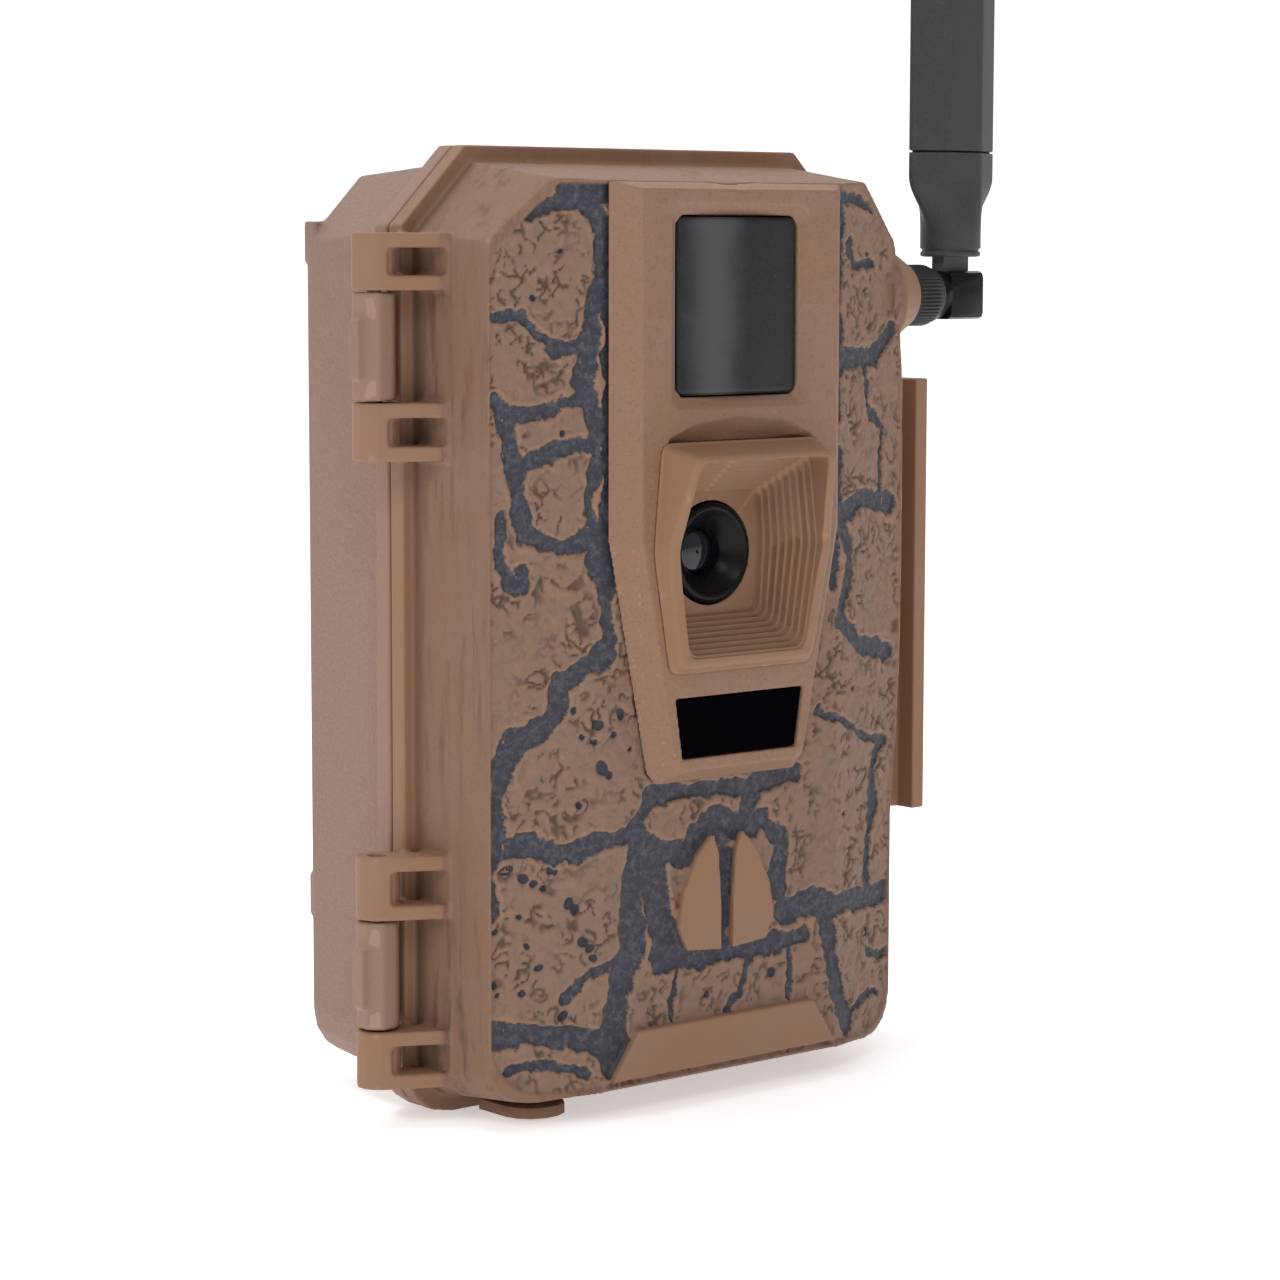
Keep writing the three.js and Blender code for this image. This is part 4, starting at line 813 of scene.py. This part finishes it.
def hood_ring(top_half, mid_half, bottom_half, bottom, top, y, passes):
    """One ring of the hood: straight top and bottom, sides widest a little above the lens."""
    cut = 1.1
    side = [(bottom_half - cut, bottom), (bottom_half, bottom + cut), (mid_half, LENS_Z + 1.4),
            (top_half, top - cut), (top_half - cut, top)]
    corners = side + [(-px, pz) for px, pz in reversed(side)]
    per_side = (5, 24, 24, 5, 40, 5, 24, 24, 5, 40)
    return rounded([(px, y, pz) for px, pz in spaced_outline(corners, per_side)], passes)


def body_ring(grow, y):
    return hood_ring(16.4 + grow, 17.9 + grow, 14.8 + grow, LENS_Z - 17.5 - grow, LENS_Z + 17.9 + grow, y, 4)


def lip_ring(inset, back):
    """A ring of the drafted body, back millimetres behind the leaning front edge."""
    ring, smaller = body_ring(0, 0), body_ring(-1, 0)
    made = ring.copy()
    made[:, 1] = np.interp(ring[:, 2], HOOD_HEIGHTS, HOOD_FRONT) + back
    draft = HOOD_DRAFT * np.clip((PANEL_FACE - made[:, 1]) / (PANEL_FACE - HOOD_TIP), 0, 1)
    shrink = (draft + inset)[:, None] * (ring - smaller)
    made[:, (0, 2)] -= shrink[:, (0, 2)]
    return made


def step_ring(share, y):
    return hood_ring(9.3 + 4.1 * share, 9.6 + 5.6 * share, 9.3 + 3.1 * share,
                     LENS_Z - 9.2 - 6.3 * share, LENS_Z + 9.2 + 6.8 * share, y, 2)


def mouth_ring(share, back):
    ring = step_ring(share, 0)
    ring[:, 1] = np.interp(ring[:, 2], HOOD_HEIGHTS, HOOD_FRONT) + back
    return ring


def circle_like(ring, radius, y):
    """A circle whose points lie in the same directions as the ring's."""
    made = []
    for px, _, pz in ring:
        angle = math.atan2(pz - LENS_Z, px)
        made.append((radius * math.cos(angle), y, LENS_Z + radius * math.sin(angle)))
    return np.array(made)


def make_hood():
    rings = [body_ring(0, HOOD_BACK), body_ring(0, PANEL_FACE + 0.6)]
    # A small fillet covers the joint with the panel.
    for grow, ahead in ((0.50, 0.09), (0.40, 0.15), (0.20, 0.28), (0.04, 0.50)):
        rings.append(body_ring(grow, PANEL_FACE - ahead))
    lip = 0.7
    for step in range(7):
        angle = math.radians(90 * step / 6)
        rings.append(lip_ring(lip * (1 - math.cos(angle)), lip * (1 - math.sin(angle))))
    edge = 0.07
    rings.append(mouth_ring(1.03, 0.02))
    rings.append(mouth_ring(1.0, 0.2))
    share, depth = 1.0, FIRST_STEP
    for step in range(HOOD_STEPS):
        next_share = 0.93 * (1 - step / HOOD_STEPS)
        rings.append(step_ring(share, depth - edge))
        rings.append(step_ring(share - edge / 6, depth))
        rings.append(step_ring(next_share + edge / 6, depth))
        rings.append(step_ring(next_share, depth + edge))
        share = next_share
        depth = FIRST_STEP + (LENS_FLOOR - FIRST_STEP) * (step + 1) / HOOD_STEPS
    rings.append(step_ring(share, LENS_FLOOR - edge))
    rings.append(step_ring(share - 0.02, LENS_FLOOR))
    floor_ring = rings[-1]
    rings.append(circle_like(floor_ring, LENS_HOLE + 0.15, LENS_FLOOR))
    rings.append(circle_like(floor_ring, LENS_HOLE, LENS_FLOOR + 0.15))
    rings.append(circle_like(floor_ring, LENS_HOLE, HOOD_BACK))
    item = loft("lens_hood_shell", rings, closed=True)
    keep_flat_faces(item)
    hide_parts("lens_hood")
    return item


def make_lens():
    """A black ring with a funnel mouth, and the curved front element at the bottom of it."""
    profile = [(5.9, -15.9), (5.9, -19.3), (8.05, -19.4), (8.05, -23.7), (7.9, -24.0), (7.5, -24.2),
               (7.0, -24.22), (6.8, -24.08), (5.6, -22.8), (5.5, -22.75), (4.1, -21.2), (3.85, -20.9),
               (3.8, -19.6), (3.4, -19.2), (3.2, -15.9)]
    barrel = turned("lens_ring", profile, (0, LENS_Z))
    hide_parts("lens_barrel")
    pole, glass_back, glass_front, dome_rise, dome_steps = 0.02, -19.4, -19.8, 0.65, 12
    dome = [(pole, glass_back), (3.5, glass_back), (3.5, glass_front)]
    for step in range(dome_steps):
        angle = math.radians(90 * (1 - (step + 1) / dome_steps))
        dome.append((max(pole, 3.4 * math.sin(angle)), glass_front - dome_rise * math.cos(angle)))
    glass = turned("lens_front_glass", dome, (0, LENS_Z))
    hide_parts("lens_glass")
    return barrel, glass


def make_ir_window():
    """A thin filter that bows forward across its width, with rounded corners."""
    low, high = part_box("ir_window")
    x0, x1, z0, z1 = low.x / MM, high.x / MM, low.z / MM, high.z / MM
    front_face, bow, thick, edge_drop = -30.7, 1.1, 1.7, 0.15
    across, up = 40, 48
    half_x, half_z = (x1 - x0) / 2, (z1 - z0) / 2
    mid_z = (z0 + z1) / 2
    radius = 1.2
    points, faces = [], []
    for layer, back in ((0, 0.0), (1, thick)):
        for j in range(up + 1):
            for i in range(across + 1):
                u, v = 2 * i / across - 1, 2 * j / up - 1
                px, pz = u * half_x, v * half_z
                over_x, over_z = abs(px) - (half_x - radius), abs(pz) - (half_z - radius)
                if over_x > 0 and over_z > 0:
                    length = math.hypot(over_x, over_z)
                    reach = max(over_x, over_z)
                    px = math.copysign(half_x - radius + over_x / length * reach, px)
                    pz = math.copysign(half_z - radius + over_z / length * reach, pz)
                rim = max(abs(u), abs(v))
                py = front_face + bow * (px / half_x) ** 2 + back
                if layer == 0 and rim > 0.999:
                    py += edge_drop
                points.append(Vector((px, py, mid_z + pz)) * MM)
    row = across + 1
    size = row * (up + 1)
    for layer in (0, 1):
        for j in range(up):
            for i in range(across):
                a = layer * size + j * row + i
                quad = (a, a + 1, a + 1 + row, a + row)
                faces.append(quad if layer == 0 else quad[::-1])
    border = list(range(across)) + [j * row + across for j in range(up)]
    border += [up * row + across - i for i in range(across)] + [(up - j) * row for j in range(up)]
    for here, there in zip(border, border[1:] + border[:1]):
        faces.append((there, here, here + size, there + size))
    mesh = bpy.data.meshes.new("lamp_window")
    mesh.from_pydata(points, [], faces)
    mesh.polygons.foreach_set("use_smooth", [True] * len(faces))
    item = new_object("lamp_window", mesh)
    keep_flat_faces(item)
    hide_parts("ir_window")
    return item


# ---------------------------------------------------------------------------------------------
# Antenna

ANTENNA_X, ANTENNA_Y, ANTENNA_Z = 63.4, -14.0, 129.0
BLADE_HALF, BLADE_DEPTH, BLADE_FLAT, BLADE_EDGE = 9.8, 3.7, 3.6, 0.5
NECK_TOP, NECK_BLEND = 139.6, 9.5
SEAM = 153.2
ANTENNA_TIP = 297.0


def blade_ring(half, depth, flat, edge, z):
    """A flattened hexagon with slightly rounded corners."""
    corners = [(half, -edge), (half, edge), (flat, depth), (-flat, depth), (-half, edge), (-half, -edge),
               (-flat, -depth), (flat, -depth)]
    per_side = [4, 14, 14, 14, 4, 14, 14, 14]
    ring = rounded(spaced_outline(corners, per_side), 1)
    return np.array([(ANTENNA_X + px, ANTENNA_Y + py, z) for px, py in ring])


def blade_at(z, in_side=0.0, in_depth=0.0, in_flat=0.0, in_edge=0.0):
    """The blade's section at a height, drawn in by the given amounts."""
    return blade_ring(BLADE_HALF - in_side, BLADE_DEPTH - in_depth, BLADE_FLAT - in_flat,
                      BLADE_EDGE - in_edge, z)


def neck_like(ring, radius, z):
    made = []
    for px, py, _ in ring:
        angle = math.atan2((py - ANTENNA_Y) * 1.35, px - ANTENNA_X)
        made.append((ANTENNA_X + radius * math.cos(angle), ANTENNA_Y + radius * math.sin(angle), z))
    return np.array(made)


def blend_rings(a, b, share, z):
    made = a * (1 - share) + b * share
    made[:, 2] = z
    return made


def make_antenna():
    blade = blade_at(SEAM)
    neck_radius, neck_steps = 5.2, 12
    neck_profile = ((4.3, 135.5), (5.0, 135.6), (5.15, 135.8), (5.15, 136.3), (4.85, 136.45), (4.85, 136.8),
                    (neck_radius, 137.0), (neck_radius, NECK_TOP))
    rings = [neck_like(blade, radius, z) for radius, z in neck_profile]
    neck = neck_like(blade, neck_radius, 0)
    for step in range(1, neck_steps + 1):
        t = step / neck_steps
        share = t * t * (3 - 2 * t)
        rings.append(blend_rings(neck, blade, share, NECK_TOP + NECK_BLEND * t))
    rings.append(blade_at(SEAM - 0.1))
    rings.append(blade_at(SEAM, in_side=0.15, in_depth=0.12, in_edge=0.1))
    # The root reaches a little way up inside the blade, behind the seam.
    for z in (SEAM, SEAM + 0.26):
        rings.append(blade_at(z, in_side=0.6, in_depth=0.4, in_edge=0.2))
    base = loft("antenna_root", rings)
    keep_flat_faces(base)

    steps, tip_height = 8, 5.5
    blade_start = SEAM + 0.5
    top = [blade_at(SEAM + 0.3, in_side=0.18, in_depth=0.15, in_edge=0.1), blade_at(blade_start)]
    for step in range(1, steps + 1):
        top.append(blade_at(blade_start + (ANTENNA_TIP - tip_height - blade_start) * step / steps))
    for step in range(1, steps + 1):
        angle = math.radians(90 * step / steps)
        shrink = 1 - math.cos(angle)
        top.append(blade_at(ANTENNA_TIP - tip_height + tip_height * math.sin(angle), in_side=4.6 * shrink,
                            in_depth=1.8 * shrink, in_flat=1.7 * shrink, in_edge=0.1 * shrink))
    sleeve = loft("antenna_blade", top)
    keep_flat_faces(sleeve)

    tongue = new_object("antenna_tongue", tongue_mesh())
    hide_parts("antenna_base")
    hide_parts("antenna_sleeve")
    return base, sleeve, tongue


def tongue_mesh():
    """The flat tongue under the blade that the fold pin passes through."""
    radius, top, half_thick, steps = 3.0, 6.9, 1.4, 16
    outline = []
    for step in range(steps + 1):
        angle = math.radians(180 + 180 * step / steps)
        outline.append((radius * math.cos(angle), radius * math.sin(angle)))
    outline += [(radius, top), (-radius, top)]
    made = bmesh.new()
    sides = []
    for y in (-half_thick, half_thick):
        sides.append([made.verts.new(((ANTENNA_X + a) * MM, (ANTENNA_Y + y) * MM, (ANTENNA_Z + b) * MM))
                      for a, b in outline])
    count = len(outline)
    for i in range(count):
        j = (i + 1) % count
        made.faces.new((sides[0][i], sides[0][j], sides[1][j], sides[1][i]))
    made.faces.new(sides[0][::-1])
    made.faces.new(sides[1])
    bmesh.ops.recalc_face_normals(made, faces=made.faces)
    mesh = bpy.data.meshes.new("antenna_tongue")
    made.to_mesh(mesh)
    made.free()
    return mesh


def make_nut():
    """The knurled nut, with fine teeth round it and a plain collar."""
    count, teeth = 288, 48
    rings = []

    def ring(along, outer, bite):
        made = []
        for i in range(count):
            angle = 2 * math.pi * i / count
            wave = 0.5 + 0.5 * math.cos(teeth * angle)
            radius = outer - bite * (1 - wave ** 0.6)
            made.append((along, ANTENNA_Y + radius * math.cos(angle), ANTENNA_Z + radius * math.sin(angle)))
        return made

    # The nut's profile as (place on X, radius, depth of the knurling)
    profile = ((51.2, 3.5, 0), (51.2, 4.6, 0), (51.5, 4.95, 0), (51.9, 5.0, 0.05), (52.3, 5.22, 0.42),
               (56.3, 5.22, 0.42), (56.7, 5.0, 0.1), (57.2, 4.85, 0), (57.8, 4.7, 0),
               (57.95, 4.5, 0), (57.95, 0.3, 0), (57.0, 0.3, 0), (57.0, 3.5, 0))
    for along, outer, bite in profile:
        rings.append(ring(along, outer, bite))
    item = loft("antenna_nut_knurled", rings, closed=True)
    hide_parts("antenna_nut")
    return item


# ---------------------------------------------------------------------------------------------
# Everything together

REAR_RIM_BACK = 1.85


def use_smooth_rim(item, material):
    """The rear rim and its hinge knuckles have no leather grain."""
    item.data.materials.append(material)
    points = coordinates(item.data)
    for face in item.data.polygons:
        middle = sum(points[i][1] for i in face.vertices) / len(face.vertices)
        if middle < REAR_RIM_BACK:
            face.material_index = 1


def main():
    make_camera()
    make_world()
    make_floor(make_floor_paper())
    for name, at, side, power in LIGHTS:
        area_light(name, at, side, power)
    bpy.context.scene.view_settings.view_transform = "Standard"

    smooth_plastic = make_smooth_plastic()
    panel_plastic = make_panel_plastic()
    leather = make_leather_plastic()
    black = make_black_plastic("plastic_black")
    gloss_black = make_black_plastic("plastic_gloss_black", base=(0.005, 0.005, 0.006), roughness=0.28,
                                     grain=0.01, specular=0.16)
    antenna_plastic = make_black_plastic("plastic_antenna", base=(0.044, 0.044, 0.045), roughness=0.5,
                                         grain=0.05, specular=0.22)
    steel = make_metal("steel", (0.55, 0.55, 0.56), 0.3)
    brass = make_metal("brass", (0.62, 0.44, 0.18), 0.3)
    satin_window = make_satin_window()
    gloss_window = make_gloss("window_gloss", (0.0015, 0.0015, 0.0025), 0.14, 0.0)
    board = make_board()
    jacket = make_jacket()
    black_rubber = make_rubber("rubber_black", (0.03, 0.03, 0.03))
    tan_rubber = make_rubber("rubber_tan", (0.26, 0.15, 0.10))
    grey_keys = make_rubber("keys_grey", (0.20, 0.21, 0.22))
    card = make_gloss("card_shell", (0.03, 0.07, 0.17), 0.35, 0.4)
    glass = make_gloss("lens_coated", (0.004, 0.005, 0.010), 0.06, 0.35, coat=0.4)
    filter_glass = make_gloss("filter_coated", (0.05, 0.12, 0.15), 0.08, 0.5)

    front = make_front_shell()
    dress(front, make_camo_plastic(), "front")
    rear = soft_copy("rear_case", "rear_shell", 0.42, 2)
    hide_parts("rear_case")
    dress(rear, leather, "rear")
    use_smooth_rim(rear, make_rim_plastic())
    panel = soft_copy("face_panel", "face_panel_shell", 0.26, 3)
    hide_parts("face_panel")
    dress(panel, panel_plastic, "front")
    lever = soft_copy("latch_lever", "latch_handle", 0.24, 3)
    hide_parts("latch_lever")
    dress(lever, smooth_plastic, "latch")
    dress(make_hood(), smooth_plastic, "front")
    barrel, lens_front = make_lens()
    dress(barrel, gloss_black, "front")
    dress(lens_front, glass, "front")
    dress(make_ir_window(), satin_window, "front")
    base, sleeve, tongue = make_antenna()
    for item in (base, sleeve, tongue):
        dress(item, antenna_plastic, "antenna")
    dress(make_nut(), black, "nut")

    looks = [
        (black, ["battery_tray", "lens_holder", "inner_panel", "power_socket", "antenna_cable"]),
        (gloss_black, ["antenna_elbow"]),
        (steel, ["hinge_pin_upper", "hinge_pin_lower", "latch_pin", "contact_bottom_left",
                 "contact_bottom_right", "contact_top_middle", "terminal_positive", "terminal_negative",
                 "motion_sensor", "modem_module", "card_socket", "antenna_pin"]),
        (steel, [f"panel_screw_{i}" for i in range(1, 5)]),
        (brass, ["tripod_insert", "antenna_socket", "power_contact_left", "power_contact_right"]),
        (board, ["ir_led_board", "sensor_board", "main_board"]),
        (black_rubber, ["rim_gasket"]),
        (tan_rubber, ["power_socket_cover"]),
        (grey_keys, ["key_up", "key_down", "key_left", "key_right", "key_ok", "power_switch"]),
        (jacket, [f"battery_cell_{i}" for i in range(1, 9)]),
        (gloss_window, ["display", "sensor_window"]),
        (card, ["memory_card"]),
        (filter_glass, ["filter_shuttle"]),
    ]
    for material, names in looks:
        for name in names:
            dress(nodes[name], material)
            soften_node(name)


main()
